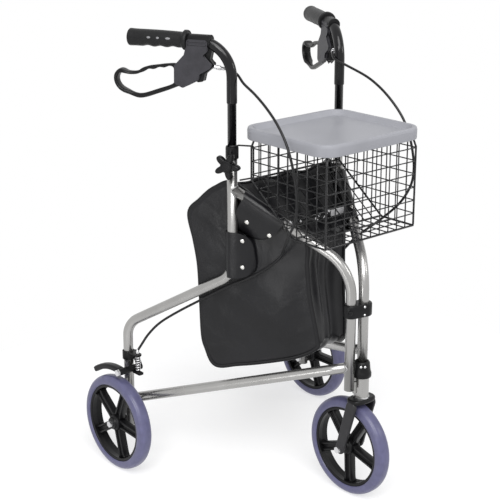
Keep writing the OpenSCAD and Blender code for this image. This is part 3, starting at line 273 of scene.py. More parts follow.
# Head: a short aluminium tube welded to the right post by a gusset, with steel bearings in it. The
# gusset, the rings and the stem keep their CAD shape. A black moulded cap covers the head and holds
# the left post's foot, and a moulded knuckle higher up keeps the two posts together.
bright_steel = textured("bright zinc steel", (0.62, 0.62, 0.63), 0.25, metallic=1.0, vary=0.08, patch=120,
                        grain=1800, depth=0.00004)
black_plastic = textured("black moulded plastic", (0.006, 0.006, 0.0066), 0.36, vary=0.2, patch=80,
                         grain=2200, depth=0.00008, specular=0.18)
cap_low_z, cap_high_z = (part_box("pivot_cap")[i].z for i in (0, 1))
cap_r, cap_bore_r, socket_r = 0.0185, 0.0125, tube_r + 0.0002
screw_r, screw_h, screw_seat_r, screw_drop, screw_turns = 0.0026, 0.0012, 0.0154, 0.0085, (-0.95, -0.42)
knuckle_z, knuckle_h, knuckle_r, knuckle_edge = 0.396, 0.026, 0.0147, 0.003
knuckle_bolt_h, knuckle_bolt_r, knuckle_bolt_back, knuckle_screw_back = 0.0016, 0.0045, 0.010, 0.0085
bend_room = 0.45


def dressed(finish, *names):
    """Gives CAD nodes that keep their shape a finish."""
    for name in names:
        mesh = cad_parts[name].data
        mesh.materials.clear()
        mesh.materials.append(finish)


def eased(profile, radius, steps=4):
    """An open profile of (r, h) points with its corners rounded as far as their lines have room."""
    return rounded_path(profile, radius, steps, bend_room)


def turned_grid(profile, centre, axis, across=(0, 0, 1), sides=48):
    """A surface of revolution: point = c + h A + r (cos a N + sin a B) for a profile of (r, h) points."""
    p = np.asarray(profile, float)
    a_dir = unit(np.asarray(axis, float))
    n = np.asarray(across, float)
    n = unit(n - (n @ a_dir) * a_dir)
    b = np.cross(a_dir, n)
    a = np.linspace(0, 2 * np.pi, sides, endpoint=False)
    ring = np.cos(a)[:, None] * n + np.sin(a)[:, None] * b
    return np.asarray(centre, float) + p[:, 1, None, None] * a_dir + p[:, 0, None, None] * ring


def dome_grid(centre, axis, radius, height, sides=20):
    """A low domed head: r = R cos q, h = H sin q, on a straight rim."""
    q = np.linspace(0, np.pi / 2, 6)
    dome = np.stack([radius * np.cos(q) + 1e-5, height * np.sin(q)], -1)
    return turned_grid(np.concatenate([[(radius, -height)], dome]), centre, axis, (0.31, 0.2, 0.93), sides)


def slab_grid(outline, thick, edge, steps=4):
    """A plate with rounded edges: the outline moved in by e (1 - cos q) as its level rises by e sin q."""
    o = np.asarray(outline, float)
    t = unit(np.roll(o, -1, 0) - np.roll(o, 1, 0))
    inward = np.stack([-t[:, 1], t[:, 0]], -1)
    q = np.linspace(np.pi / 2, 0, steps)
    moved = edge * (1 - np.cos(q))
    drop = thick / 2 - edge * (1 - np.sin(q))
    flat = o[None] + np.concatenate([moved, moved[::-1]])[:, None, None] * inward[None]
    level = np.concatenate([-drop, drop[::-1]])[:, None, None]
    return np.concatenate([flat, np.broadcast_to(level, flat.shape[:2] + (1,))], -1)


def round_points(a):
    """The points (cos a, sin a) of a unit circle."""
    return np.stack([np.cos(a), np.sin(a)], -1)


def link_outline(p, q, rp, rq, steps=20):
    """The outline of two discs and the band that touches both, run round once."""
    p, q = np.asarray(p, float), np.asarray(q, float)
    base = math.atan2(*(q - p)[::-1])
    lean = math.acos((rp - rq) / np.linalg.norm(q - p))
    a = np.linspace(base + lean, base + 2 * np.pi - lean, steps)
    b = np.linspace(base - lean, base + lean, steps)
    return np.concatenate([p + rp * round_points(a), q + rq * round_points(b)])


dressed(anodised, "head_tube")
dressed(bright_steel, "head_bearings", "fork_stem", "front_axle", "right_axle", "left_axle")
cap_profile = eased([(cap_bore_r, cap_low_z), (cap_r, cap_low_z), (cap_r, cap_low_z + 0.009),
                     (0.0172, cap_low_z + 0.0125), (0.0162, cap_low_z + 0.018), (0.0152, cap_high_z - 0.004),
                     (0.0132, cap_high_z), (socket_r, cap_high_z), (socket_r, cap_high_z - 0.006)], 0.0022)
grid = turned_grid(cap_profile, [0, fold_y, 0], UP, [1, 0, 0], 56)
cap = surface_mesh("cap_moulding", grid, black_plastic, loop=True)
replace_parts(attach(cap, "right_frame"), "pivot_cap")
for number, turn in enumerate(screw_turns):
    way = np.array([math.sin(turn), -math.cos(turn), 0])
    spot = np.array([0, fold_y, cap_high_z - screw_drop]) + way * screw_seat_r
    screw = surface_mesh(f"cap_screw_{number}", dome_grid(spot, way, screw_r, screw_h), bright_steel)
    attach(screw, "right_frame")
knuckle = link_outline(right_post, left_post, knuckle_r, knuckle_r * 1.1, 28)
knuckle = slab_grid(knuckle, knuckle_h, knuckle_edge)
piece = surface_mesh("knuckle_moulding", knuckle + knuckle_z * UP, black_plastic)
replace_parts(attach(piece, "right_frame"), "hinge_knuckle")
post_gap = unit(left_post - right_post)
knuckle_out = np.array([post_gap[1], -post_gap[0]])
screw_spot = left_post - knuckle_screw_back * post_gap
for number, (spot, lift, proud, size, finish, slot) in enumerate((
        (right_post - knuckle_bolt_back * post_gap, 0.0, -0.0012,
         knuckle_bolt_r, black_plastic, "black_plastic"),
        (screw_spot, 0.0085, 0.0008, screw_r, bright_steel, "steel"),
        (screw_spot, -0.0075, 0.0008, screw_r, bright_steel, "steel"))):
    place = np.array([*(spot + knuckle_out * (knuckle_r + proud)), knuckle_z + lift])
    grid = dome_grid(place, [*knuckle_out, 0], size, knuckle_bolt_h)
    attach(surface_mesh(f"knuckle_bolt_{number}", grid, finish), "right_frame")

# Fork: a rounded black crown under the head and two dark grey nylon legs that sweep back to the
# front axle. Its stem, axle, spacers and nuts keep their CAD shape in bright steel.
dark_nylon = textured("dark grey nylon", (0.017, 0.0165, 0.0185), 0.42, vary=0.2, patch=60, grain=1500,
                      depth=0.00012, specular=0.3)
fork_gap, fork_plate, trail, wheel_r = 0.046, 0.007, 0.028, 0.100
crown_top_z, crown_t, crown_half_y, crown_edge = 0.2134, 0.010, 0.0188, 0.0042
leg_top_drop, leg_top_y, leg_top_r, leg_foot_r, leg_edge = 0.0165, trail * 0.02, 0.0125, 0.0108, 0.0024


def softened(v, power):
    """A sine or cosine pulled towards its ends, which squares a circle off."""
    return np.sign(v) * np.abs(v) ** power


a = np.linspace(0, 2 * np.pi, 72, endpoint=False)
crown_half_x = fork_gap / 2 + fork_plate
crown = np.stack([crown_half_x * softened(np.cos(a), 0.62), crown_half_y * softened(np.sin(a), 0.78)], -1)
crown = slab_grid(crown, crown_t, crown_edge, 6) + np.array([0, fold_y, crown_top_z - crown_t / 2])
piece = surface_mesh("fork_crown", crown, black_plastic)
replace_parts(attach(piece, "fork"), "fork")
leg = link_outline((leg_top_y, crown_top_z - leg_top_drop), (trail, wheel_r), leg_top_r, leg_foot_r, 24)
flat = slab_grid(leg, fork_plate, leg_edge)
for number, x in enumerate((-fork_gap / 2 - fork_plate / 2, fork_gap / 2 + fork_plate / 2)):
    grid = np.stack([x + flat[..., 2], fold_y + flat[..., 0], flat[..., 1]], -1)
    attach(surface_mesh(f"fork_leg_{number}", grid, dark_nylon), "fork")

# Wheels: a black moulded rim with a round hub and five ribbed spokes, and a solid blue-grey tyre
# cast on to the rim, with a fine mould ring on each shoulder.
tyre_rubber = textured("blue grey tyre", (0.098, 0.097, 0.180), 0.32, vary=0.10, patch=90, grain=1600,
                       depth=0.0001, specular=0.4)
tyre_w, mould_ring_x, mould_ring_t = 0.030, 0.0108, 0.0007
rim_r, rim_in_r, rim_w = 0.082, 0.0750, 0.026
hub_r, hub_end_r, hub_bore_r, hub_len = 0.016, 0.0118, 0.0045, 0.034
spoke_count, spoke_w, spoke_t, spoke_end_r = 5, 0.017, 0.015, 0.0775
rib_t, web_t = 0.0044, 0.0054
rim_flare, rim_flare_from, rim_flare_len = 0.35, 0.064, 0.0135
hub_flare, hub_flare_to, hub_flare_len = 0.2, 0.024, 0.011
rear_x, axle_y = 0.278, 0.196


def rounded_loop(corners, radius, steps=4):
    """A closed outline of (x, y) corners with each corner turned on an arc, as far as there is room."""
    c = np.asarray(corners, float)
    turns = zip(np.roll(c, 1, 0), c, np.roll(c, -1, 0))
    return np.concatenate([corner_arc(p, q, r, radius, steps, bend_room) for p, q, r in turns])


def spoke_grid(centre, turn):
    """A ribbed spoke: its section runs out along the radius and widens by w(r) where it meets hub and rim."""
    out = np.array([0, -math.sin(turn), math.cos(turn)])
    along_axle = np.array([1.0, 0, 0])
    wide = np.cross(out, along_axle)
    r = np.linspace(hub_r * 0.8, spoke_end_r, 16)
    at_rim = np.clip((r - rim_flare_from) / rim_flare_len, 0, 1)
    at_hub = np.clip((hub_flare_to - r) / hub_flare_len, 0, 1)
    flare = 1 + rim_flare * at_rim ** 2 + hub_flare * at_hub ** 2
    ring = spoke_section[None, :, :1] * flare[:, None, None] * wide + spoke_section[None, :, 1:] * along_axle
    return np.asarray(centre, float) + r[:, None, None] * out + ring


q = np.linspace(-np.pi / 2, np.pi / 2, 41)
tyre_h = tyre_w / 2 * softened(np.sin(q), 0.75)
tyre_size = rim_r + (wheel_r - rim_r) * np.cos(q) ** 0.62
tyre_size = tyre_size - mould_ring_t * np.exp(-((np.abs(tyre_h) - mould_ring_x) / mould_ring_t) ** 2)
tyre_profile = np.stack([tyre_size, tyre_h], -1)
rim_profile = rounded_loop([(rim_in_r, -rim_w / 2), (rim_r - 0.0001, -rim_w / 2), (rim_r - 0.0001, rim_w / 2),
                            (rim_in_r, rim_w / 2), (0.0760, 0.009), (0.0772, 0), (0.0760, -0.009)], 0.0016)
hub_profile = rounded_loop([(hub_bore_r, -hub_len / 2), (hub_end_r, -hub_len / 2), (0.0128, -0.0135),
                            (hub_r, -0.0110), (hub_r, 0.0110), (0.0128, 0.0135), (hub_end_r, hub_len / 2),
                            (hub_bore_r, hub_len / 2)], 0.0012)
half_w, half_t, in_w, in_t = spoke_w / 2, spoke_t / 2, spoke_w / 2 - rib_t, web_t / 2
spoke_section = rounded_loop([(-half_w, -half_t), (-in_w, -half_t), (-in_w, -in_t), (in_w, -in_t),
                              (in_w, -half_t), (half_w, -half_t), (half_w, half_t), (in_w, half_t),
                              (in_w, in_t), (-in_w, in_t), (-in_w, half_t), (-half_w, half_t)], 0.0011, 3)
for word, body, centre, phase in (("front", "front_wheel", (0, fold_y + trail, wheel_r), 1.83),
                                  ("right", "right_wheel", (-rear_x, axle_y, wheel_r), 1.64),
                                  ("left", "left_wheel", (rear_x, axle_y, wheel_r), 1.57)):
    grid = turned_grid(tyre_profile, centre, (1, 0, 0), UP, 96)
    tyre = surface_mesh(word + "_tyre_ring", grid, tyre_rubber, loop=True)
    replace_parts(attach(tyre, body), word + "_tyre")
    grid = turned_grid(rim_profile, centre, (1, 0, 0), UP, 96)
    rim = surface_mesh(word + "_rim_ring", grid, black_plastic, loop=True)
    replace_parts(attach(rim, body), word + "_rim")
    grid = turned_grid(hub_profile, centre, (1, 0, 0), UP, 48)
    hub = surface_mesh(word + "_hub", grid, black_plastic, loop=True)
    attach(hub, body)
    for number in range(spoke_count):
        grid = spoke_grid(centre, phase + 2 * math.pi * number / spoke_count)
        spoke = surface_mesh(f"{word}_spoke_{number}", grid, black_plastic)
        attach(spoke, body)

# Handles: a black painted tube slides in each upright, through a plastic collar, and is clamped by a
# star knob on a welded boss. It bends back into a moulded rubber grip with a flange in front.
black_paint = textured("gloss black paint", (0.006, 0.006, 0.007), 0.15, vary=0.15, patch=40, grain=500,
                       depth=0.00003, rough_vary=0.05, coat=0.08, specular=0.25)
grip_rubber = textured("moulded grip rubber", (0.006, 0.006, 0.0066), 0.44, vary=0.2, patch=90, grain=2400,
                       depth=0.0002, specular=0.25)
# The grip dots are three small raised pips; their pale grey is a painted highlight.
highlight_dot_paint = textured("grip dots painted highlight", (0.26, 0.26, 0.27), 0.35, vary=0.06, patch=200, grain=2500,
                    depth=0.00005)
handle_z, handle_low_z, handle_r, handle_bend_r = 0.889, 0.560, 0.00855, 0.065
sleeve_z, sleeve_r, sleeve_edge = 0.776, 0.010, 0.0009
grip_from, grip_end, grip_r, grip_round = 0.094, 0.208, 0.0165, 0.006
grip_waist, grip_swell, grip_end_swell = 0.89, 0.07, 0.12
flange_from, flange_r, flange_step, flange_round = 0.086, 0.019, 0.0008, 0.003
wave_from, wave_to, wave_len, wave_depth = grip_from + 0.010, grip_from + 0.0865, 0.0255, 0.0022
dot_r, dot_h, dot_turn, dot_sink = 0.0021, 0.0007, 0.2, 0.0001
dot_places, dot_stretch = (0.122, 0.1425, 0.161), (2.4, 1.4, 1.8)
collar_low_z, collar_high_z, collar_bore_r, collar_r = 0.671, 0.695, 0.0102, 0.0125
boss_r, boss_from, boss_to, boss_bore_r = 0.0075, 0.006, 0.018, 0.0032
knob_z, knob_base, knob_t, knob_edge = 0.6615, 0.0181, 0.014, 0.0036
knob_r, knob_waist_r, knob_arms, knob_turn = 0.026, 0.0112, 5, 2.6


def grip_size(s, turn):
    """Radius of the grip at s along it: a flange, a waist, a palm swell and a rounded end; below, three
    finger waves cut in by d (1 - cos) / 2 where the surface faces down."""
    along = np.clip((s - grip_from) / (grip_end - grip_from), 0, 1)
    swell = grip_swell * np.sin(np.pi * np.clip(along * 1.15, 0, 1)) + grip_end_swell * along ** 3
    body = grip_r * (grip_waist + swell)
    end = np.clip((grip_end - s) / grip_round, 0, 1)
    body = body * np.clip(1 - (1 - end) ** 4, 0.0004, 1) ** 0.25
    edge = np.clip((s - flange_from) / flange_round, 0, 1)
    flange = flange_r * (0.9 + 0.1 * np.sqrt(1 - (1 - edge) ** 2))
    behind_flange = flange_r - (s - grip_from + flange_step) * 1.1
    size = np.where(s < grip_from - flange_step, flange, np.maximum(body, behind_flange))
    under = np.clip(-np.sin(turn), 0, 1) ** 1.5
    wave = 0.5 - 0.5 * np.cos(2 * np.pi * (s - wave_from) / wave_len)
    return np.where((s > wave_from) & (s < wave_to), size - wave_depth * under * wave, size)


bent_part = rounded_path([[0, 0, sleeve_z + 0.002], [0, 0, handle_z], [grip_end - 0.005, 0, handle_z]],
                         handle_bend_r, 24)
straight_z = [handle_low_z, sleeve_z - 0.0002, sleeve_z, sleeve_z + 0.001]
handle_path = np.concatenate([[[0, 0, z] for z in straight_z], bent_part])
handle_size = [handle_r, handle_r, handle_r + sleeve_edge, sleeve_r] + [sleeve_r] * len(bent_part)
grip_s = np.concatenate([[flange_from], flange_from + 0.0005 + 0.0065 * np.linspace(0, 1, 5),
                         np.linspace(grip_from - 0.0005, grip_end - grip_round, 70),
                         grip_end - grip_round * (1 - np.sin(np.linspace(0.08, np.pi / 2 - 0.03, 12)))])
grip_a = np.linspace(0, 2 * np.pi, 56, endpoint=False)
grip_body = grip_size(grip_s[:, None], grip_a[None, :])
grip_local = np.stack([np.broadcast_to(grip_s[:, None], grip_body.shape), grip_body * np.cos(grip_a),
                       handle_z + grip_body * np.sin(grip_a)], -1)
collar_profile = rounded_loop([(collar_bore_r, collar_low_z), (collar_r, collar_low_z),
                               (collar_r, collar_high_z - 0.004), (collar_r - 0.0007, collar_high_z),
                               (collar_bore_r, collar_high_z)], 0.0012)
boss_profile = eased([(boss_r, boss_from), (boss_r, boss_to), (boss_bore_r, boss_to)], 0.001)
star_a = np.linspace(0, 2 * np.pi, 120, endpoint=False)
star_wave = (0.5 + 0.5 * np.cos(knob_arms * star_a - knob_turn)) ** 0.9
star_size = knob_waist_r + (knob_r - knob_waist_r) * star_wave
star = slab_grid(star_size[:, None] * round_points(star_a), knob_t, knob_edge, 6)
star_local = np.stack([star[..., 0], knob_base + knob_t / 2 + star[..., 2], knob_z - star[..., 1]], -1)
knob_cap_profile = eased([(0.0118, -0.001), (0.0112, 0.0016), (0.0070, 0.0024), (0.0005, 0.0025)], 0.001)
for side, word in SIDES:
    local = tube_grid(handle_path, [0, 1, 0], handle_size, 32)
    tube = side_mesh(side, word + "_handle", local, black_paint)
    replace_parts(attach(tube, word + "_handle"), word + "_handle_tube")
    grip = side_mesh(side, word + "_grip_sleeve", grip_local, grip_rubber)
    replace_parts(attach(grip, word + "_handle"), word + "_grip")
    # Three small raised pips on the grip, pale grey as a painted highlight.
    way = np.array([0, math.cos(dot_turn), math.sin(dot_turn)])
    for number, (s, long) in enumerate(zip(dot_places, dot_stretch)):
        size = float(grip_size(np.array(s), np.array(0.0)))
        local = dome_grid([0, 0, 0], way, dot_r, dot_h) * np.array([long, 1, 1])
        local = local + np.array([s, 0, handle_z]) + (size - dot_sink) * way
        piece = side_mesh(side, f"{word}_grip_dot_{number}", local, highlight_dot_paint)
        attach(piece, word + "_handle")
    local = turned_grid(collar_profile, [0, 0, 0], UP, [1, 0, 0], 40)
    collar = side_mesh(side, word + "_collar_ring", local, black_plastic, loop=True)
    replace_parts(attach(collar, word + "_frame"), word + "_collar")
    local = turned_grid(boss_profile, [0, 0, knob_z], [0, 1, 0], [1, 0, 0], 40)
    piece = side_mesh(side, word + "_knob_boss", local, anodised)
    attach(piece, word + "_frame")
    piece = side_mesh(side, word + "_knob_star", star_local, black_plastic)
    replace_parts(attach(piece, word + "_knob"), word + "_star_knob")
    local = turned_grid(knob_cap_profile, [0, knob_base + knob_t, knob_z], [0, 1, 0], [1, 0, 0], 40)
    piece = side_mesh(side, word + "_knob_cap", local, black_plastic)
    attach(piece, word + "_knob")

# Brake levers: a charcoal housing is clamped on the handle in front of the grip, with two cheeks round
# the lever's root. The lever is a black moulded loop with a broad pad at its end, on a steel pin.
grey_plastic = textured("charcoal moulded plastic", (0.041, 0.040, 0.046), 0.46, vary=0.15, patch=70,
                        grain=2000, depth=0.00012, specular=0.25)
lever_black = textured("black lever plastic", (0.006, 0.006, 0.0066), 0.32, vary=0.2, patch=90, grain=1800,
                       depth=0.0001, specular=0.22)
lever_s, lever_z, lever_len = 0.090, 0.826, 0.150
lever_root_r, lever_root_edge = 0.018, 0.0016
lever_half, pad_half, pad_from, pad_share = 0.0048, 0.0095, 0.72, 0.14
finger_from, finger_to, finger_len, finger_depth, finger_low = 0.036, 0.099, 0.021, 0.0013, -0.006
cheek_t, cheek_in, cheek_edge, saddle_t, saddle_edge = 0.0063, 0.0064, 0.0022, 0.0126, 0.0005
clamp_r, ledge_r, ledge_drop, ledge_from, ledge_to = 0.0124, 0.0016, 0.0062, 0.0464, 0.0828
housing_points = np.array([[45.5, 890.5], [83.5, 890.5], [84, 881], [89, 862], [109, 841], [109.5, 809.5],
                           [94, 803], [64, 818.5], [62, 829.5], [40, 842], [37.5, 846.5], [43, 850],
                           [56, 864], [46.5, 872]]) / 1000
saddle_points = np.array([[36.5, 889], [83, 889], [86, 866], [69, 848], [66, 828], [69, 812], [55, 814.5],
                          [51.5, 829], [36, 842], [34.5, 847.5], [41, 856], [37, 874]]) / 1000
outer_shares = np.array([[0.10, 0.115], [0.37, 0.105], [0.58, 0.060], [0.68, 0.005], [0.82, 0.000],
                         [0.92, 0.030], [1.00, -0.055], [0.995, -0.170], [0.925, -0.265], [0.80, -0.320],
                         [0.63, -0.358], [0.38, -0.280], [0.14, -0.185], [0.02, -0.110]])
inner_shares = np.array([[0.21, 0.075], [0.37, 0.055], [0.57, 0.007], [0.68, -0.052], [0.81, -0.060],
                         [0.90, -0.045], [0.945, -0.115], [0.91, -0.195], [0.81, -0.245], [0.64, -0.280],
                         [0.40, -0.205], [0.21, -0.130], [0.185, -0.025]])


def cubic(a, b, c, d, steps):
    """Each stretch from b to c as the cubic that leans on its neighbours a and d as well."""
    t = (np.arange(steps) / steps)[None, :, None]
    a, b, c, d = (v[:, None] for v in (a, b, c, d))
    bend = (2 * a - 5 * b + 4 * c - d) * t ** 2 + (3 * b - a - 3 * c + d) * t ** 3
    return (0.5 * (2 * b + (c - a) * t + bend)).reshape(-1, b.shape[-1])


def smooth_loop(points, steps=8):
    """A closed smooth curve through points: each stretch is the cubic of its four nearest points."""
    p = np.asarray(points, float)
    return cubic(np.roll(p, 1, 0), p, np.roll(p, -1, 0), np.roll(p, -2, 0), steps)


def spread(points, count, endpoint=True):
    """The same line with count points evenly along its length."""
    d = np.concatenate([[0], np.cumsum(np.linalg.norm(np.diff(points, axis=0), axis=1))])
    at = np.linspace(0, d[-1], count, endpoint=endpoint)
    return np.stack([np.interp(at, d, points[:, i]) for i in range(points.shape[1])], -1)


def lever_outline(shares):
    """A closed outline of the lever through shares of its length, with its points evenly along it."""
    loop = smooth_loop(shares * lever_len, 12)
    return spread(np.concatenate([loop, loop[:1]]), 160, endpoint=False)


def upright_slab(outline, thick, edge, middle=0.0):
    """A plate of the side plane from an outline of (s, z) points run round with z up."""
    flat = slab_grid(np.asarray(outline)[::-1] * np.array([1, -1]), thick, edge)[:, ::-1]
    return np.stack([flat[..., 0], middle - flat[..., 2], -flat[..., 1]], -1)[::-1]


lever_outer, lever_inner = lever_outline(outer_shares), lever_outline(inner_shares)
inner_s, inner_z = lever_inner.T
finger = (inner_s > finger_from) & (inner_s < finger_to) & (inner_z > finger_low)
wave = 1 - np.cos(2 * np.pi * (inner_s - finger_from) / finger_len)
lever_inner[:, 1] -= np.where(finger, finger_depth * wave, 0)
to_pad = np.clip((lever_outer[:, 0] / lever_len - pad_from) / pad_share, 0, 1)
half = lever_half + (pad_half - lever_half) * to_pad ** 1.5
ring = np.linspace(0, 2 * np.pi, 16, endpoint=False)
share, level = 0.5 + 0.38 * softened(np.cos(ring), 0.6), softened(np.sin(ring), 0.6)
lever_flat = lever_inner[None] + share[:, None, None] * (lever_outer - lever_inner)[None]
lever_local = np.stack([lever_s + lever_flat[..., 0], level[:, None] * half[None],
                        lever_z + lever_flat[..., 1]], -1)
root_a = np.linspace(0, 2 * np.pi, 48, endpoint=False)
root = slab_grid(lever_root_r * round_points(root_a), 2 * lever_half, lever_root_edge)
root_local = np.stack([lever_s + root[..., 0], root[..., 2], lever_z - root[..., 1]], -1)
housing_outline = rounded_loop(housing_points, 0.0035, 5)
saddle_local = upright_slab(rounded_loop(saddle_points, 0.003), saddle_t, saddle_edge)
clamp_profile = eased([(0.0005, 0.0390), (0.0114, 0.0390), (clamp_r, 0.0400), (clamp_r, 0.0848),
                       (0.0118, 0.0858), (0.0104, 0.0858)], 0.0008)
clamp_local = turned_grid(clamp_profile, [0, 0, handle_z], [1, 0, 0], UP, 48)
ledge = np.stack([np.linspace(ledge_from, ledge_to, 12), np.full(12, clamp_r), np.full(12, handle_z)], -1)
ferrule_profile = eased([(0.0028, 0), (0.0035, 0.0008), (0.0035, 0.007), (0.0046, 0.0074), (0.0046, 0.0150),
                         (0.0038, 0.0155), (0.0038, 0.0204), (0.0020, 0.0204)], 0.0004)
ferrule_foot, ferrule_way = np.array([0.0175, -0.0088, 0.8383]), unit(np.array([0.0170, 0.0076, 0.0037]))
ferrule_across = unit(np.cross(ferrule_way, [0, 1, 0]))
ferrule_local = turned_grid(ferrule_profile, ferrule_foot, ferrule_way, ferrule_across, 24)
dressed(bright_steel, "right_lever_pin", "left_lever_pin")
for side, word in SIDES:
    body = word + "_handle"
    for number, middle in enumerate((cheek_in + cheek_t / 2, -cheek_in - cheek_t / 2)):
        local = upright_slab(housing_outline, cheek_t, cheek_edge, middle)
        cheek = side_mesh(side, f"{word}_housing_cheek_{number}", local, grey_plastic)
        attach(cheek, body)
    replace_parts(cheek, word + "_lever_housing")
    saddle = side_mesh(side, word + "_housing_saddle", saddle_local, black_plastic)
    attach(saddle, body)
    clamp = side_mesh(side, word + "_housing_clamp", clamp_local, black_plastic)
    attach(clamp, body)
    for number, (out, lower) in enumerate(((1, 0), (1, ledge_drop), (-1, 0), (-1, ledge_drop))):
        local = tube_grid(ledge * np.array([1, out, 1]) - lower * UP, UP, ledge_r, 12)
        piece = side_mesh(side, f"{word}_housing_ledge_{number}", local, grey_plastic)
        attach(piece, body)
    lever = side_mesh(side, word + "_lever_loop", lever_local, lever_black, loop=True, flip=True)
    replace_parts(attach(lever, word + "_lever"), word + "_brake_lever")
    piece = side_mesh(side, word + "_lever_root", root_local, lever_black)
    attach(piece, word + "_lever")
    piece = side_mesh(side, word + "_cable_ferrule", ferrule_local, bright_steel)
    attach(piece, body)

# Brake cables: a black plastic sheath runs from each housing's nose in an arc over the tray's side,
# round under the basket and along the rear slope to the brake. The left one is in two lengths.
sheath = textured("black cable sheath", (0.006, 0.006, 0.0066), 0.34, vary=0.2, patch=60, grain=1500,
                  depth=0.00006, specular=0.3)
cable_r, cable_sides, cable_step, cable_meet_share = 0.0025, 14, 0.006, 0.155
cable_across = [0.85, 0.2, 0.1]
left_bow, left_bow_in, left_bow_out = np.array([0.015, -0.017, 0]), (0.02, 0.14), (0.42, 0.58)
right_leaves_handle, left_leaves_handle = (0.07, 0.29), (0.02, 0.15)
lower_leaves_frame, lower_joins_frame = (cable_meet_share, 0.24), (0.60, 0.95)
nose_s, nose_drop = 0.044, 0.04368
basket_x = 0.119
ear_z, ear_t, ear_y = 0.246, 0.004, 0.165
barrel_r, barrel_h, barrel_tip_r, barrel_tip_h = 0.0035, 0.007, 0.0027, 0.010
from_nose = np.array([[-10, 0, -3.3], [-18, -5, -5.3], [-32, -11.5, -8.3], [-48, -15, -16.3]]) / 1000
beside_basket = np.array([[12, 195, 815], [14, 162, 800], [17, 128, 781], [19, 98, 758], [21, 74, 732],
                          [22, 58, 704], [22, 47, 672], [21, 41, 640], [18, 43, 608], [11, 56, 576],
                          [7, 74, 549]]) / 1000
under_slope = np.array([[-115, 97, 518], [-104, 122, 490], [-109, 150, 464], [-121, 177, 443],
                        [-136, 205, 426], [-150, 233, 409], [-169, 269, 384], [-194, 317, 350],
                        [-214, 354, 320]]) / 1000
from_ear = np.array([[19, -13, 35], [7, -3, 11], [0, 0, 0]]) / 1000


def smooth_line(points, steps=6):
    """An open smooth curve through points, with its first and last points kept."""
    p = np.asarray(points, float)
    q = np.concatenate([2 * p[:1] - p[1:2], p, 2 * p[-1:] - p[-2:-1]])
    return np.concatenate([cubic(q[:-3], q[1:-2], q[2:-1], q[3:], steps), p[-1:]])


def path_length(path):
    """The sum of the lengths of a path's steps."""
    return float(np.linalg.norm(np.diff(path, axis=0), axis=1).sum())


def evened(path, spacing):
    """The same path with points about this far apart, evenly along it."""
    p = np.asarray(path, float)
    return spread(p, max(2, int(round(path_length(p) / spacing)) + 1))


def level_ends(start, end):
    """0 up to start along the cable, 1 from end on, and x x (3 - 2 x) between them."""
    x = np.clip((cable_run - start) / (end - start), 0, 1)
    return x * x * (3 - 2 * x)


top_part = on_side(RIGHT, np.array([nose_s, 0, handle_z - nose_drop]) + from_nose)
side_part = np.stack([-basket_x - beside_basket[:, 0], beside_basket[:, 1] + fold_y, beside_basket[:, 2]], -1)
under_part = under_slope + np.array([0, fold_y, 0])
ear_part = np.array([-leg_x, ear_y, ear_z + ear_t + barrel_h]) + from_ear
cable_path = evened(smooth_line(np.concatenate([top_part, side_part, under_part, ear_part]), 8), cable_step)
cable_run, cable_meet = np.linspace(0, 1, len(cable_path)), int(cable_meet_share * len(cable_path))
barrel_profile = eased([(0.0022, 0), (barrel_r, 0), (barrel_r, barrel_h), (barrel_tip_r, barrel_h + 0.0002),
                        (barrel_tip_r, barrel_tip_h)], 0.0005)
for side, word in SIDES:
    path = cable_path * np.array([-side, 1, 1])
    lengths = [("", slice(None), "right_frame", "right_handle", 1 - level_ends(*right_leaves_handle))]
    if side == LEFT:
        path = path + (level_ends(*left_bow_in) - level_ends(*left_bow_out))[:, None] * left_bow
        lengths = [("", slice(0, cable_meet + 1), "left_frame", "left_handle",
                    1 - level_ends(*left_leaves_handle)),
                   ("_lower", slice(cable_meet, None), "right_frame", "left_frame",
                    1 - level_ends(*lower_leaves_frame) + level_ends(*lower_joins_frame))]
    for part, rows, fixed, moved, share in lengths:
        grid = tube_grid(path, cable_across, cable_r, cable_sides)[rows]
        cable = surface_mesh(word + "_cable" + part, grid, sheath)
        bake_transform(cable)
        if not part:
            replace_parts(cable, word + "_brake_cable")
    grid = turned_grid(barrel_profile, [side * leg_x, ear_y, ear_z + ear_t], UP, [1, 0, 0], 24)
    barrel = surface_mesh(word + "_cable_barrel", grid, bright_steel)
    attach(barrel, word + "_frame")

# Rear brakes: a black bracket clamps each leg and carries a bolt, on which a curved shoe turns above
# the tyre. The cable lifts the shoe's tongue against a small steel spring under the bracket's ear.
pivot_y, pivot_z = 0.178, 0.216
band_in_r, band_r, band_low_z, band_high_z = 0.0111, 0.0125, 0.2320, 0.2495
ear_half, ear_root_y, ear_edge = 0.0078, leg_y - 0.013, 0.0008
plate_x, plate_t, plate_top_y, plate_top_z = leg_x - 0.0145, 0.005, leg_y - 0.002, 0.2385
plate_low_r, plate_top_r, plate_edge = 0.0072, 0.0085, 0.0009
shoe_mid, shoe_half_t, shoe_half_w = 0.118, 0.006, 0.008
shoe_from, shoe_to, shoe_round_from, shoe_round_len = 53.0, 98.8, 0.90, 0.102
hub_x, hub_half, hub_in_r, hub_out_r = 0.2610, 0.0248, 0.0042, 0.007
tongue_half, tongue_from_y, tongue_to_y = 0.006, 0.153, 0.177
tongue_t, tongue_z, tongue_edge = 0.005, 0.2095, 0.0012
spring_turns, spring_r, spring_wire = 6, 0.005, 0.0009
spring_low_z, spring_high_z = 0.2132, 0.2448
arc = np.radians(np.linspace(shoe_from, shoe_to, 30))
to_end = np.clip(np.abs(np.linspace(-1, 1, 30)) - shoe_round_from, 0, 1)
taper = np.sqrt(np.clip(1 - (to_end / shoe_round_len) ** 2, 0.05, 1))[:, None]
ring = np.linspace(0, 2 * np.pi, 28, endpoint=False)
across = shoe_half_w * softened(np.cos(ring), 0.5)
rise = shoe_half_t * softened(np.sin(ring), 0.5)
shoe_size = shoe_mid + rise[None, :] * taper
coil = np.linspace(0, 2 * np.pi * spring_turns, spring_turns * 20 + 1)
coil_out = np.stack([np.cos(coil), np.sin(coil), 0 * coil], -1)
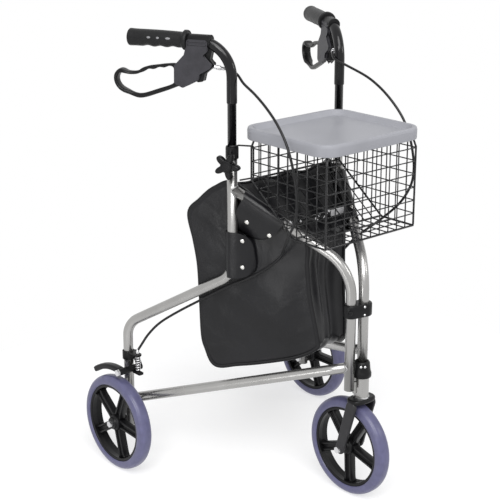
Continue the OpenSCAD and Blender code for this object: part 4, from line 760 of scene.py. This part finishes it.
coil_z = spring_low_z + (spring_high_z - spring_low_z) * coil / coil[-1]
band_profile = rounded_loop([(band_in_r, band_low_z), (band_r, band_low_z), (band_r, band_high_z),
                             (band_in_r, band_high_z)], 0.0006)
shoe_hub_profile = rounded_loop([(hub_in_r, -hub_half), (hub_out_r, -hub_half), (hub_out_r, hub_half),
                                 (hub_in_r, hub_half)], 0.0008)
ear_slab = slab_grid(link_outline((0, ear_root_y), (0, ear_y), ear_half, ear_half), ear_t, ear_edge)
plate_outline = link_outline((pivot_y, pivot_z), (plate_top_y, plate_top_z), plate_low_r, plate_top_r)
plate_slab = slab_grid(plate_outline, plate_t, plate_edge)
tongue_slab = slab_grid(rounded_loop([(-tongue_half, tongue_from_y), (tongue_half, tongue_from_y),
                                      (tongue_half, tongue_to_y), (-tongue_half, tongue_to_y)], 0.003),
                        tongue_t, tongue_edge)
dressed(bright_steel, "right_brake_bolt", "left_brake_bolt")
for side, word in SIDES:
    grid = turned_grid(band_profile, [side * leg_x, leg_y, 0], UP, [1, 0, 0], 40)
    band = surface_mesh(word + "_bracket_band", grid, black_plastic, loop=True)
    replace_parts(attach(band, word + "_frame"), word + "_brake_bracket")
    grid = ear_slab + np.array([side * leg_x, 0, ear_z + ear_t / 2])
    ear = surface_mesh(word + "_bracket_ear", grid, black_plastic)
    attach(ear, word + "_frame")
    grid = np.stack([side * plate_x + plate_slab[..., 2], plate_slab[..., 0], plate_slab[..., 1]], -1)
    cheek = surface_mesh(word + "_bracket_cheek", grid, black_plastic)
    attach(cheek, word + "_frame")
    grid = np.stack([side * rear_x + across[None, :] * taper, axle_y + shoe_size * np.cos(arc)[:, None],
                     wheel_r + shoe_size * np.sin(arc)[:, None]], -1)
    shoe = surface_mesh(word + "_shoe_bar", grid, black_plastic)
    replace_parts(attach(shoe, word + "_brake"), word + "_brake_shoe")
    grid = turned_grid(shoe_hub_profile, [side * hub_x, pivot_y, pivot_z], [1, 0, 0], UP, 32)
    hub = surface_mesh(word + "_shoe_hub", grid, black_plastic, loop=True)
    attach(hub, word + "_brake")
    grid = tongue_slab + np.array([side * leg_x, 0, tongue_z])
    tongue = surface_mesh(word + "_shoe_tongue", grid, black_plastic)
    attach(tongue, word + "_brake")
    path = np.array([side * leg_x, ear_y, 0]) + spring_r * coil_out
    path[:, 2] = coil_z
    grid = tube_grid(path, coil_out, spring_wire, 10)
    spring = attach(surface_mesh(word + "_spring_coil", grid, bright_steel), word + "_frame")
    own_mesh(spring)
    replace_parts(spring, word + "_brake_spring")

# Bag: two side panels of black vinyl hang inside the frames and a wide strip joins them along the
# front, the bottom and the back. All edges have a sewn binding. Flaps wrap the tubes and close with
# nickel studs. The cloth sags a little between its edges.
bag_back, bag_len, bag_low_z, bag_h = 0.096, 0.265, 0.238, 0.380
cloth_inset, cloth_t, flap_t = 0.0143, 0.0022, 0.0014
cloth_turn = 0.012
binding_r, binding_sides, binding_in, strip_in = 0.0026, 12, 0.0012, 0.0018
belly_depth, belly_f, belly_z, belly_wide, belly_high = 0.0100, 0.085, 0.375, 0.060, 0.085
ripple_depth, long_fold_depth, cross_fold_depth = 0.0004, 0.0030, 0.0016
roll_depth, roll_u, roll_v, roll_wide, roll_high = 0.012, 0.30, 0.235, 0.10, 0.055
bag_shares = np.array([[0.362, 1.000], [0.62, 0.880], [0.890, 0.755], [0.915, 0.600], [0.940, 0.432],
                       [1.000, 0.221], [0.985, 0.170], [0.830, 0.110], [0.555, 0.053], [0.362, 0.022],
                       [0.234, 0.000], [0.170, 0.018], [0.128, 0.084], [0.098, 0.160], [0.085, 0.360],
                       [0.072, 0.545], [0.040, 0.679], [0.000, 0.821], [0.087, 0.895], [0.204, 0.966]])
outline_steps, open_from = 8, 17
middle_f, middle_z = 0.03, 0.42
bag_centre = np.array([0, -0.03, 0.42])
sag_at = [0, 0.06, 0.2, 0.33, 0.42, 0.55, 0.68, 0.8, 0.94, 1]
sag_depth = [0.004, 0.012, 0.016, 0.010, 0, -0.010, 0, 0.008, 0.010, 0.004]


def vinyl_finish(name, colour, roughness, fold_scale, fold_depth):
    """Coated cloth: a fine leather grain, soft creases and a patchy sheen."""
    finish = textured(name, colour, roughness, vary=0.25, patch=14, grain=900, depth=0.00025,
                      rough_vary=0.10, specular=0.28)
    tree = finish.node_tree
    place = next(n for n in tree.nodes if n.type == "TEX_COORD")
    fine = next(n for n in tree.nodes if n.type == "BUMP")
    crease = tree.nodes.new("ShaderNodeTexNoise")
    crease.inputs["Scale"].default_value = fold_scale
    crease.inputs["Detail"].default_value = 2
    crease.inputs["Distortion"].default_value = 0.6
    tree.links.new(place.outputs["Object"], crease.inputs["Vector"])
    soft = tree.nodes.new("ShaderNodeBump")
    soft.inputs["Distance"].default_value = fold_depth
    soft.inputs["Strength"].default_value = 0.5
    tree.links.new(crease.outputs["Fac"], soft.inputs["Height"])
    tree.links.new(soft.outputs["Normal"], fine.inputs["Normal"])
    return finish


def bag_place(side, f, z, inset):
    """Places (distance forward of the upright, height) so far inside the frame: the front and rear planes
    are blended by a tanh of f, so that the cloth turns smoothly at the upright."""
    _, step, outward, _ = front_axis(side)
    base = np.array([side * upright_x, upright_y])
    back_in = np.array([-side * splay_cos, splay_sin])
    back = np.array([side * splay_sin, splay_cos])
    f, z, inset = (v[..., None] for v in np.broadcast_arrays(f, z, inset))
    ahead = base - f * step - inset * outward
    behind = base - f * back + inset * back_in
    w = 0.5 + 0.5 * np.tanh(f / cloth_turn)
    return np.concatenate([w * ahead + (1 - w) * behind, z], -1)


def bulge(f, z, rho):
    """How far the cloth stands out: one soft belly below the tubes, and ripples that die at the edge."""
    belly = belly_depth * np.exp(-((f - belly_f) / belly_wide) ** 2 - ((z - belly_z) / belly_high) ** 2)
    ripple = np.sin(2 * np.pi * (16 * z + 9 * f)) + np.sin(2 * np.pi * (15 * f - 6 * z))
    return (belly + ripple_depth * ripple) * (1 - rho ** 4)


def thickened(piece, thick):
    """Gives a sheet its thickness, half of it on each side."""
    cloth = piece.modifiers.new("cloth", "SOLIDIFY")
    cloth.thickness = thick
    cloth.offset = 0
    return piece


vinyl = vinyl_finish("black bag vinyl", (0.0066, 0.0066, 0.0078), 0.34, 22, 0.004)
binding = textured("bag binding", (0.009, 0.009, 0.010), 0.42, vary=0.2, patch=60, grain=1200, depth=0.0002,
                   specular=0.22)
outline = smooth_loop(bag_shares, outline_steps)
outline_f = outline[:, 0] * bag_len - bag_back
outline_z = bag_low_z + outline[:, 1] * bag_h
rho = np.linspace(0.004, 1, 26)[:, None]
panel_f = middle_f + rho * (outline_f - middle_f)
panel_z = middle_z + rho * (outline_z - middle_z)
panel_inset = cloth_inset - bulge(panel_f, panel_z, rho)
for side, word in SIDES:
    grid = bag_place(side, panel_f, panel_z, panel_inset)
    panel = surface_mesh(word + "_panel", grid, vinyl, caps=(True, False), flip=side == LEFT)
    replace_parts(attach(thickened(panel, cloth_t), word + "_frame"), word + "_bag_panel")
    edge = bag_place(side, outline_f, outline_z, cloth_inset + binding_in)
    outwards = bag_place(side, outline_f, outline_z, 0.0) - edge
    path, across = (np.concatenate([line[-2:], line, line[:3]]) for line in (edge, outwards))
    tape = tube_grid(path, across, binding_r, binding_sides, 1.9)[2:-3]
    piece = surface_mesh(word + "_panel_binding", tape, binding, loop=True)
    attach(piece, word + "_frame")

# Bag strip: a ruled surface between the panels' front, bottom and back edges, pulled in by its sag
# and soft folds. Both of its ends are bound.
strip = np.arange(open_from * outline_steps + 1)
u, v = np.linspace(0, 1, 30)[None, :], (strip / strip[-1])[:, None]
right_edge, left_edge = (bag_place(side, outline_f[strip], outline_z[strip], cloth_inset + strip_in)
                         for side in (RIGHT, LEFT))
inward = bag_centre - 0.5 * (right_edge + left_edge)
inward[:, 0] = 0
slack = 4 * u * (1 - u)
fold = long_fold_depth * np.sin(2 * np.pi * (3.1 * u + 1.3 * np.sin(5 * v))) * slack
fold = fold + cross_fold_depth * np.sin(2 * np.pi * (7 * v + 1.7 * u)) * slack
fold = fold - roll_depth * np.exp(-((u - roll_u) / roll_wide) ** 2 - ((v - roll_v) / roll_high) ** 2)
sag = np.interp(v, sag_at, sag_depth) * slack
strip_grid = right_edge[:, None] * (1 - u)[..., None] + left_edge[:, None] * u[..., None]
strip_grid = strip_grid + (sag + fold)[..., None] * unit(inward)[:, None]
gusset = thickened(surface_mesh("bag_strip", strip_grid, vinyl, wrap=False, flip=True), cloth_t)
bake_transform(gusset)
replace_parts(gusset, "bag_gusset")
for number, row in enumerate((0, -1)):
    grid = tube_grid(strip_grid[row], [0, 0.3, 1], binding_r, binding_sides, 1.7)
    tape = surface_mesh(f"bag_strip_binding_{number}", grid, binding)
    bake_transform(tape)

# Flaps and studs: a front flap hangs over each diagonal tube and another wraps each upright. The studs
# are pressed nickel caps.
nickel = textured("nickel studs", (0.70, 0.69, 0.66), 0.2, metallic=1.0, vary=0.05, patch=200, grain=1500,
                  depth=0.00002)
flap_wrap_r, flap_lean_in, flap_stop_r = 0.0122, 0.0098, tube_r + 0.0008
flap_skew, flap_plumb, flap_inside_share = 0.7, 0.98, 0.7
flap_from, flap_len = 0.027, {RIGHT: 0.079, LEFT: 0.123}
front_drop, upright_drop, upright_flap_z, upright_flap_half = 0.0535, 0.041, 0.482, 0.046
stud_stand, stud_upright_f, stud_upright_z = 0.0006, 0.023, (0.459, 0.512)
stud_front = ((0.0545, 0.0325), (0.0981, 0.0293))
stud_dip, stud_top_m, stud_top_lean = -0.25, 0.125, 0.26
stud_profile = eased([(0.0046, 0), (0.0046, 0.0008), (0.0040, 0.0016), (0.0022, 0.0023), (0.0003, 0.0024)],
                     0.0006)


def diagonal_fall(side):
    """How far a diagonal tube drops for each metre away from the upright."""
    return (weld_z - front_bend_z) / front_axis(side)[3]


def diagonal_spot(side, m, drop=0.0, out=0.0):
    """A place m metres down a diagonal tube's axis, or on the cloth that hangs from there and slants back."""
    run = front_axis(side)[3]
    z = weld_z - diagonal_fall(side) * m - flap_plumb * drop
    return on_front(side, [run - m + flap_skew * drop, out, z])


def diagonal_up(side):
    """The unit step square out of the top of a diagonal tube, as its slope gives it."""
    return unit(np.array([*(-diagonal_fall(side) * front_axis(side)[1]), 1.0]))


def flap_lean(drop, reach):
    """How far outside the tube's middle a hanging flap is, at a drop below it: it leans in to the panel."""
    return flap_wrap_r - (flap_wrap_r + flap_lean_in) * (drop / reach) ** 1.9


def hanging_flap(tip):
    """A flap round a tube: at each place along the tube (rows) it climbs the inner side, goes over the
    top by half a turn and hangs down outside by tip metres, leaning in to the panel.
    Returns (drop below the tube's middle, distance outwards) for each row and column."""
    inside = flap_inside_share * tip[:, None] * np.linspace(1, 0, 7)[:-1]
    over = np.broadcast_to(np.linspace(-np.pi / 2, np.pi / 2, 14), (len(tip), 14))
    hang = tip[:, None] * np.linspace(0, 1, 16)[1:]
    out = [np.full(inside.shape, -flap_wrap_r), flap_wrap_r * np.sin(over), flap_lean(hang, tip.max())]
    return np.concatenate([inside, -flap_wrap_r * np.cos(over), hang], 1), np.concatenate(out, 1)


shape = -np.cos(np.linspace(0, np.pi, 40))
front_tip = front_drop * np.sqrt(1 - np.abs(shape) ** 3) * (1 - 0.12 * shape) + 0.003
side_tip = upright_drop * np.sqrt(1 - shape ** 4) * (1 - 0.15 * shape) + 0.004
for side, word in SIDES:
    body = word + "_frame"
    _, _, outward, run = front_axis(side)
    along = (flap_from + flap_len[side] * (0.5 + 0.5 * shape))[:, None]
    drop, out = hanging_flap(front_tip)
    # The cloth slants back as it hangs, and stops at the upright's round face.
    face = run - np.sqrt(np.maximum(flap_stop_r ** 2 - out ** 2, 0))
    slant = np.minimum(run - along + flap_skew * np.maximum(drop, 0), face)
    local = np.stack([slant, out, weld_z - diagonal_fall(side) * along - flap_plumb * drop], -1)
    flap = surface_mesh(word + "_front_flap", on_front(side, local), vinyl, wrap=False, flip=side != LEFT)
    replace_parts(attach(thickened(flap, flap_t), body), word + "_bag_flaps")
    drop, out = hanging_flap(side_tip)
    grid = bag_place(side, drop, (upright_flap_z + upright_flap_half * shape)[:, None], -out)
    flap = surface_mesh(word + "_upright_flap", grid, vinyl, wrap=False, flip=side == LEFT)
    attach(thickened(flap, flap_t), body)
    spots = [diagonal_spot(side, m, d, flap_lean(d, front_tip.max()) + stud_stand) for m, d in stud_front]
    upright_out = flap_lean(stud_upright_f, side_tip.max()) + stud_stand
    spots += [bag_place(side, stud_upright_f, z, -upright_out) for z in stud_upright_z]
    ways = [np.array([*outward, stud_dip])] * len(spots)
    if side == LEFT:
        # One more stud holds the longer left flap on the top of its tube.
        ways.append(unit(diagonal_up(side) + stud_top_lean * unit(ways[0])))
        spots.append(diagonal_spot(side, stud_top_m) + (flap_wrap_r + stud_stand) * ways[-1])
    for number, (spot, way) in enumerate(zip(spots, ways)):
        grid = turned_grid(stud_profile, spot, way, (0.2, 0.3, 1), 24)
        stud = surface_mesh(f"{word}_stud_{number}", grid, nickel)
        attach(stud, body)
    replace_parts(stud, word + "_bag_studs")

# Basket: black coated steel wires welded crosswise. Long wires run down the front, along the floor and
# up the sloping back; level wires go round, and thicker wires edge the rim and the slope. Hooks
# reach from its back corners round the handle tubes.
black_wire = textured("black coated wire", (0.008, 0.008, 0.009), 0.28, vary=0.2, patch=60, grain=1200,
                      depth=0.00006, specular=0.35)
wire_r, edge_r, rim_wire_r, hook_wire_r = 0.0012, 0.0020, 0.0016, 0.0016
front_y, back_y, floor_y = -0.014 + fold_y, 0.190 + fold_y, 0.070 + fold_y
floor_z, slope_z, rim_z = 0.538, 0.630, 0.7185
wire_inset, cross_lift = 0.0015, 0.003
side_x, near_y, far_y = basket_x - wire_inset, front_y + wire_inset, back_y - wire_inset
rim_bend, level_bend, long_bend, lean_z = 0.022, 0.006, 0.0035, 0.694
long_count, level_count, level_margin, side_count, side_margin = 11, 6, 0.026, 7, 0.024
floor_count, slope_count = 2, 7
hook_r, prop_r, hook_z, prop_z, hook_turn = 0.0122, 0.0147, 0.6969, 0.6295, math.radians(95)
hook_corner_x, hook_corner_y, hook_set = basket_x - 0.00952, back_y + 0.0017, 0.003


def joined_mesh(name, grids, finish):
    """Many closed tubes, each a grid of rings with end caps, as one piece."""
    faces, start = [], 0
    for grid in grids:
        rows, cols = grid.shape[:2]
        faces += grid_faces(rows, cols, True, False, (True, True), start)
        start += rows * cols
    return mesh_piece(name, np.concatenate([grid.reshape(-1, 3) for grid in grids]), faces, finish)


def wire(path, across=UP, size=wire_r):
    """A round wire along a path."""
    return tube_grid(path, across, size, 10)


def cross_wire(y, z, size=wire_r):
    """A straight wire from side to side."""
    return wire([[-side_x, y, z], [side_x, y, z]], size=size)


def slope_level(y):
    """Height of the basket's underside: the floor, then a straight slope up to the back."""
    return floor_z + np.clip((y - floor_y) / (back_y - floor_y), 0, 1) * (slope_z - floor_z)


def level_loop(z, front, back):
    """Corners of a level wire right round the basket, from the middle of its back."""
    return [[0, back, z], [-side_x, back, z], [-side_x, front, z], [side_x, front, z], [side_x, back, z],
            [0, back, z]]


long_path = np.array([[0, far_y, rim_z], [0, far_y, slope_z], [0, floor_y, floor_z + wire_inset],
                      [0, near_y, floor_z + wire_inset], [0, near_y, rim_z]])
lean_in = rim_bend * (1 - math.sqrt(0.5))
wires = []
for number, x in enumerate(np.linspace(-side_x, side_x, long_count)):
    path, size = long_path + [x, 0, 0], wire_r
    if number in (0, long_count - 1):
        # A corner wire leans in at its top ends to meet the rim's rounded corners.
        lean = np.sign(x) * lean_in
        ends = path[[0, -1]] - [[lean, lean_in, 0], [lean, -lean_in, 0]]
        path[[0, -1], 2] = lean_z
        path, size = np.concatenate([ends[:1], path, ends[1:]]), edge_r
    wires.append(wire(rounded_path(path, long_bend, 5), [1, 0, 0], size))
for z in np.linspace(floor_z + level_margin, rim_z - level_margin, level_count):
    path = level_loop(z, front_y, far_y)
    if z <= slope_z:
        # Below the slope's top a level wire ends at the slope on either side.
        slope_y = floor_y + (z - floor_z) / (slope_z - floor_z) * (back_y - floor_y)
        path = level_loop(z, front_y, slope_y)[1:-1]
    wires.append(wire(rounded_path(path, level_bend, 5)))
for y in np.linspace(front_y + side_margin, back_y - side_margin, side_count):
    for x in (-side_x - wire_r, side_x + wire_r):
        wires.append(wire([[x, y, slope_level(y)], [x, y, rim_z]], [1, 0, 0]))
for y in np.linspace(front_y, floor_y, floor_count + 2)[1:-1]:
    wires.append(cross_wire(y, floor_z + cross_lift))
for number, y in enumerate(np.linspace(floor_y, far_y, slope_count)):
    size = edge_r if number in (0, slope_count - 1) else wire_r
    wires.append(cross_wire(y, slope_level(y) + cross_lift, size))
wires.append(cross_wire(near_y, floor_z + wire_inset, edge_r))
wires.append(wire(rounded_path(level_loop(rim_z, near_y, far_y), rim_bend, 10), size=rim_wire_r))
basket = joined_mesh("basket_wires", wires, black_wire)
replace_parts(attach(basket, "basket"), "basket_front", "basket_back", "basket_slope", "basket_floor",
                    "basket_right", "basket_left")
away = math.atan2(upright_y - fold_y, upright_x)
turn = -away - hook_turn * np.linspace(0, 1, 14)
hook = np.stack([hook_r * np.cos(turn) - upright_x, upright_y + hook_r * np.sin(turn),
                 np.full(14, hook_z)], -1)
prop_end = [prop_r * math.cos(away) - upright_x, upright_y - prop_r * math.sin(away), prop_z]
hook_path = np.concatenate([[prop_end, [-hook_corner_x, hook_corner_y, prop_z + hook_set],
                             [-hook_corner_x, hook_corner_y, hook_z - hook_set]], hook])
hooks = [tube_grid(evened(hook_path * np.array([-side, 1, 1]), 0.003), [0.3, 0.9, 0.2], hook_wire_r, 12)
         for side in (RIGHT, LEFT)]
hook_piece = joined_mesh("basket_hook_wires", hooks, black_wire)
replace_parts(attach(hook_piece, "basket"), "basket_hooks")

# Folding brace: a channel from the right diagonal tube and a zinc plated flat link from the left one,
# standing on edge just under the basket. The channel is the same steel as the link; its black is painted
# shade, and the link's pale grey is the zinc's own tone brightened as painted highlight. They overlap at
# a riveted hinge in the middle, where a bent wire with a ball end unlocks them.
# The link and its fittings: zinc grey, made pale and only slightly metallic as painted highlight.
zinc_with_painted_highlight = textured("zinc plated brace with painted highlight", (0.70, 0.70, 0.71), 0.34, metallic=0.15, vary=0.08, patch=150,
                      grain=1500, depth=0.00004)
brace_right, brace_left = np.array([-0.082, -0.1076, 0.5515]), np.array([0.069, -0.1049, 0.5520])
channel_to, channel_high, channel_t, channel_ahead = 0.69, 0.0140, 0.0036, 0.0016
link_from, link_high, link_t, link_ahead = 0.40, 0.0125, 0.0026, -0.0018
rivet_r, rivet_h, rivet_ahead = 0.0027, 0.0016, 0.0036
release_r, ball_r = 0.0010, 0.0026
bolt_m, bolt_r, bolt_h, bolt_washer = 0.1135, 0.0034, 0.0020, 0.0012
brace_way = brace_left - brace_right
brace_front = unit(np.cross(brace_way, UP))


def brace_spot(share, lift=0.0, ahead=0.0):
    """A place on the brace: a share of the way from the right tube to the left, lifted and set forward."""
    return brace_right + share * brace_way + lift * UP + ahead * brace_front


def brace_strip(shares, high, thick, ahead):
    """A flat bar: the rounded section (height, thickness) carried along the brace through these shares."""
    h, t = high / 2, thick / 2
    section = rounded_loop([(-h, -t), (h, -t), (h, t), (-h, t)], 0.0008)
    line = np.stack([brace_spot(share, 0, ahead) for share in shares])
    return line[:, None] + section[None, :, :1] * UP + section[None, :, 1:] * brace_front


def ball_grid(centre, radius):
    """A ball: r = R cos q, h = R sin q."""
    q = np.linspace(-np.pi / 2, np.pi / 2, 11)
    profile = np.stack([radius * np.cos(q) + 1e-5, radius * np.sin(q)], -1)
    return turned_grid(profile, centre, UP, (1, 0, 0), 16)


# The channel takes the handles' black paint as painted shade: it is the same steel as the link.
channel_strip = brace_strip(np.linspace(0, channel_to, 20), channel_high, channel_t, channel_ahead)
channel = joined_mesh("brace_channel", [channel_strip], black_paint)
rivets = [(0.070, 0.0040), (0.150, 0.0030), (0.42, 0), (0.445, -0.0045), (0.475, 0.0045)]
release = np.array([brace_spot(0.55, -0.0030, 0.0040), brace_spot(0.58, 0.0020, 0.0052),
                    brace_spot(0.64, 0.0085, 0.0052)])
upwards = diagonal_up(RIGHT)
bolt_spot = diagonal_spot(RIGHT, bolt_m) + (tube_r + bolt_washer) * upwards
fittings = [brace_strip(np.linspace(link_from, 1, 18), link_high, link_t, link_ahead)]
fittings += [dome_grid(brace_spot(share, lift, rivet_ahead), brace_front, rivet_r, rivet_h)
             for share, lift in rivets]
fittings += [tube_grid(evened(release, 0.002), brace_front, release_r, 10), ball_grid(release[-1], ball_r),
             dome_grid(bolt_spot, upwards, bolt_r, bolt_h)]
links = joined_mesh("brace_links", fittings, zinc_with_painted_highlight)
for piece, slot in ((channel, "black_tube"), (links, "steel")):
    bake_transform(piece)

# Tray: one thin light grey moulding with a thick rounded rim, a flat floor for cups and a skirt that
# sits over the basket's rim.
tray_grey = textured("light grey tray plastic", (0.33, 0.334, 0.361), 0.42, vary=0.05, patch=18, grain=1800,
                     depth=0.00012, specular=0.3)
tray_w, tray_l, tray_front, tray_corner, tray_least_corner = 0.260, 0.232, -0.023 + fold_y, 0.036, 0.004


def tray_ring(grow):
    """The tray's rounded outline moved in by grow: four corner arcs, run round against the clock."""
    r = max(tray_corner - grow, tray_least_corner)
    middles = np.array([[1, 1], [-1, 1], [-1, -1], [1, -1]]) * (np.array([tray_w, tray_l]) / 2 - grow - r)
    quarter = np.linspace(0, np.pi / 2, 12)
    return np.concatenate([middle + r * round_points(quarter + number * np.pi / 2)
                           for number, middle in enumerate(middles)])


tray_profile = eased([(0.0030, 0.7200), (0.0030, 0.7102), (0.0004, 0.7100), (0.0000, 0.7270),
                      (0.0012, 0.7322), (0.0050, 0.7330), (0.0090, 0.7325), (0.0165, 0.7243),
                      (0.0190, 0.7231), (0.0240, 0.7230)], 0.0024, 5)
rings = np.stack([tray_ring(grow) for grow, _ in tray_profile])
levels = np.broadcast_to(tray_profile[:, 1, None, None], rings.shape[:2] + (1,))
tray_grid = np.concatenate([rings, levels], -1) + np.array([0, tray_front + tray_l / 2, 0])
tray = surface_mesh("tray_dish", tray_grid, tray_grey)
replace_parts(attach(tray, "tray"), "tray")

# Studio: a plain white floor, soft light from above and in front, and the camera at the photograph's
# place. The surround is white where it is seen or mirrored, and a soft grey as a light.
floor_half, floor_level, surround_level = 0.9, -0.0005, 0.40
floor_paint = bpy.data.materials.new("studio floor")
floor_paint.use_nodes = True
paint = floor_paint.node_tree.nodes["Principled BSDF"]
for socket, value in (("Base Color", (0.45, 0.45, 0.45, 1)), ("Emission Color", (1, 1, 1, 1)),
                      ("Emission Strength", 0.60), ("Roughness", 0.9), ("Specular IOR Level", 0.1)):
    paint.inputs[socket].default_value = value
floor_corners = np.array([(-1, -1), (1, -1), (1, 1), (-1, 1)]) * floor_half
floor_points = np.concatenate([floor_corners, np.full((4, 1), floor_level)], 1)
floor_mesh = bpy.data.meshes.new("studio_floor")
floor_mesh.from_pydata(floor_points.tolist(), [], [(0, 1, 2, 3)])
floor_mesh.materials.append(floor_paint)
floor = bpy.data.objects.new("studio_floor", floor_mesh)
bpy.context.scene.collection.objects.link(floor)
world = bpy.data.worlds.new("studio")
bpy.context.scene.world = world
world.use_nodes = True
tree = world.node_tree
sky = tree.nodes["Background"]
sky.inputs["Color"].default_value = (surround_level, surround_level, surround_level + 0.01, 1)
seen = tree.nodes.new("ShaderNodeBackground")
seen.inputs["Color"].default_value = (1, 1, 1, 1)
for background in (sky, seen):
    background.inputs["Strength"].default_value = 1.0
ray = tree.nodes.new("ShaderNodeLightPath")
white_for = ray.outputs["Is Camera Ray"]
for other in ("Is Glossy Ray", "Is Transmission Ray"):
    largest = tree.nodes.new("ShaderNodeMath")
    largest.operation = "MAXIMUM"
    tree.links.new(white_for, largest.inputs[0])
    tree.links.new(ray.outputs[other], largest.inputs[1])
    white_for = largest.outputs["Value"]
either = tree.nodes.new("ShaderNodeMixShader")
tree.links.new(white_for, either.inputs["Fac"])
tree.links.new(sky.outputs["Background"], either.inputs[1])
tree.links.new(seen.outputs["Background"], either.inputs[2])
tree.links.new(either.outputs["Shader"], tree.nodes["World Output"].inputs["Surface"])
for name, kind, place, aim, size, power in (
        ("daylight", "SUN", (-2.0, -3.0, 4.4), (0, 0, 0.45), math.radians(40), 2.3),
        ("key", "AREA", (-2.3, -1.5, 2.3), (0, 0, 0.45), 0.7, 18),
        ("rim", "AREA", (1.6, -2.2, 1.6), (0, 0, 0.45), 0.6, 9),
        ("low fill", "AREA", (-1.5, -0.46, 0.26), (0, 0, 0.38), 0.4, 2.5)):
    lamp = bpy.data.lights.new(name, kind)
    lamp.energy = power
    if kind == "SUN":
        lamp.angle = size
    else:
        lamp.size = size
    light = bpy.data.objects.new(name, lamp)
    light.location = place
    light.rotation_euler = (Vector(place) - Vector(aim)).to_track_quat("Z", "Y").to_euler()
    bpy.context.scene.collection.objects.link(light)
bpy.context.scene.view_settings.view_transform = "Standard"
view_turn, view_lift, view_far = math.radians(-41.5), math.radians(17.8), 2.6644
view_aim = Vector((-0.0783, 0.0130, 0.4713))
level_part = math.cos(view_lift)
back = Vector((math.sin(view_turn) * level_part, -math.cos(view_turn) * level_part, math.sin(view_lift)))
lens = bpy.data.cameras.new("photo camera")
lens.sensor_width = 36
lens.lens = 97.4
camera = bpy.data.objects.new("photo_camera", lens)
camera.location = view_aim + back * view_far
camera.rotation_euler = back.to_track_quat("Z", "Y").to_euler()
bpy.context.scene.collection.objects.link(camera)
bpy.context.scene.camera = camera
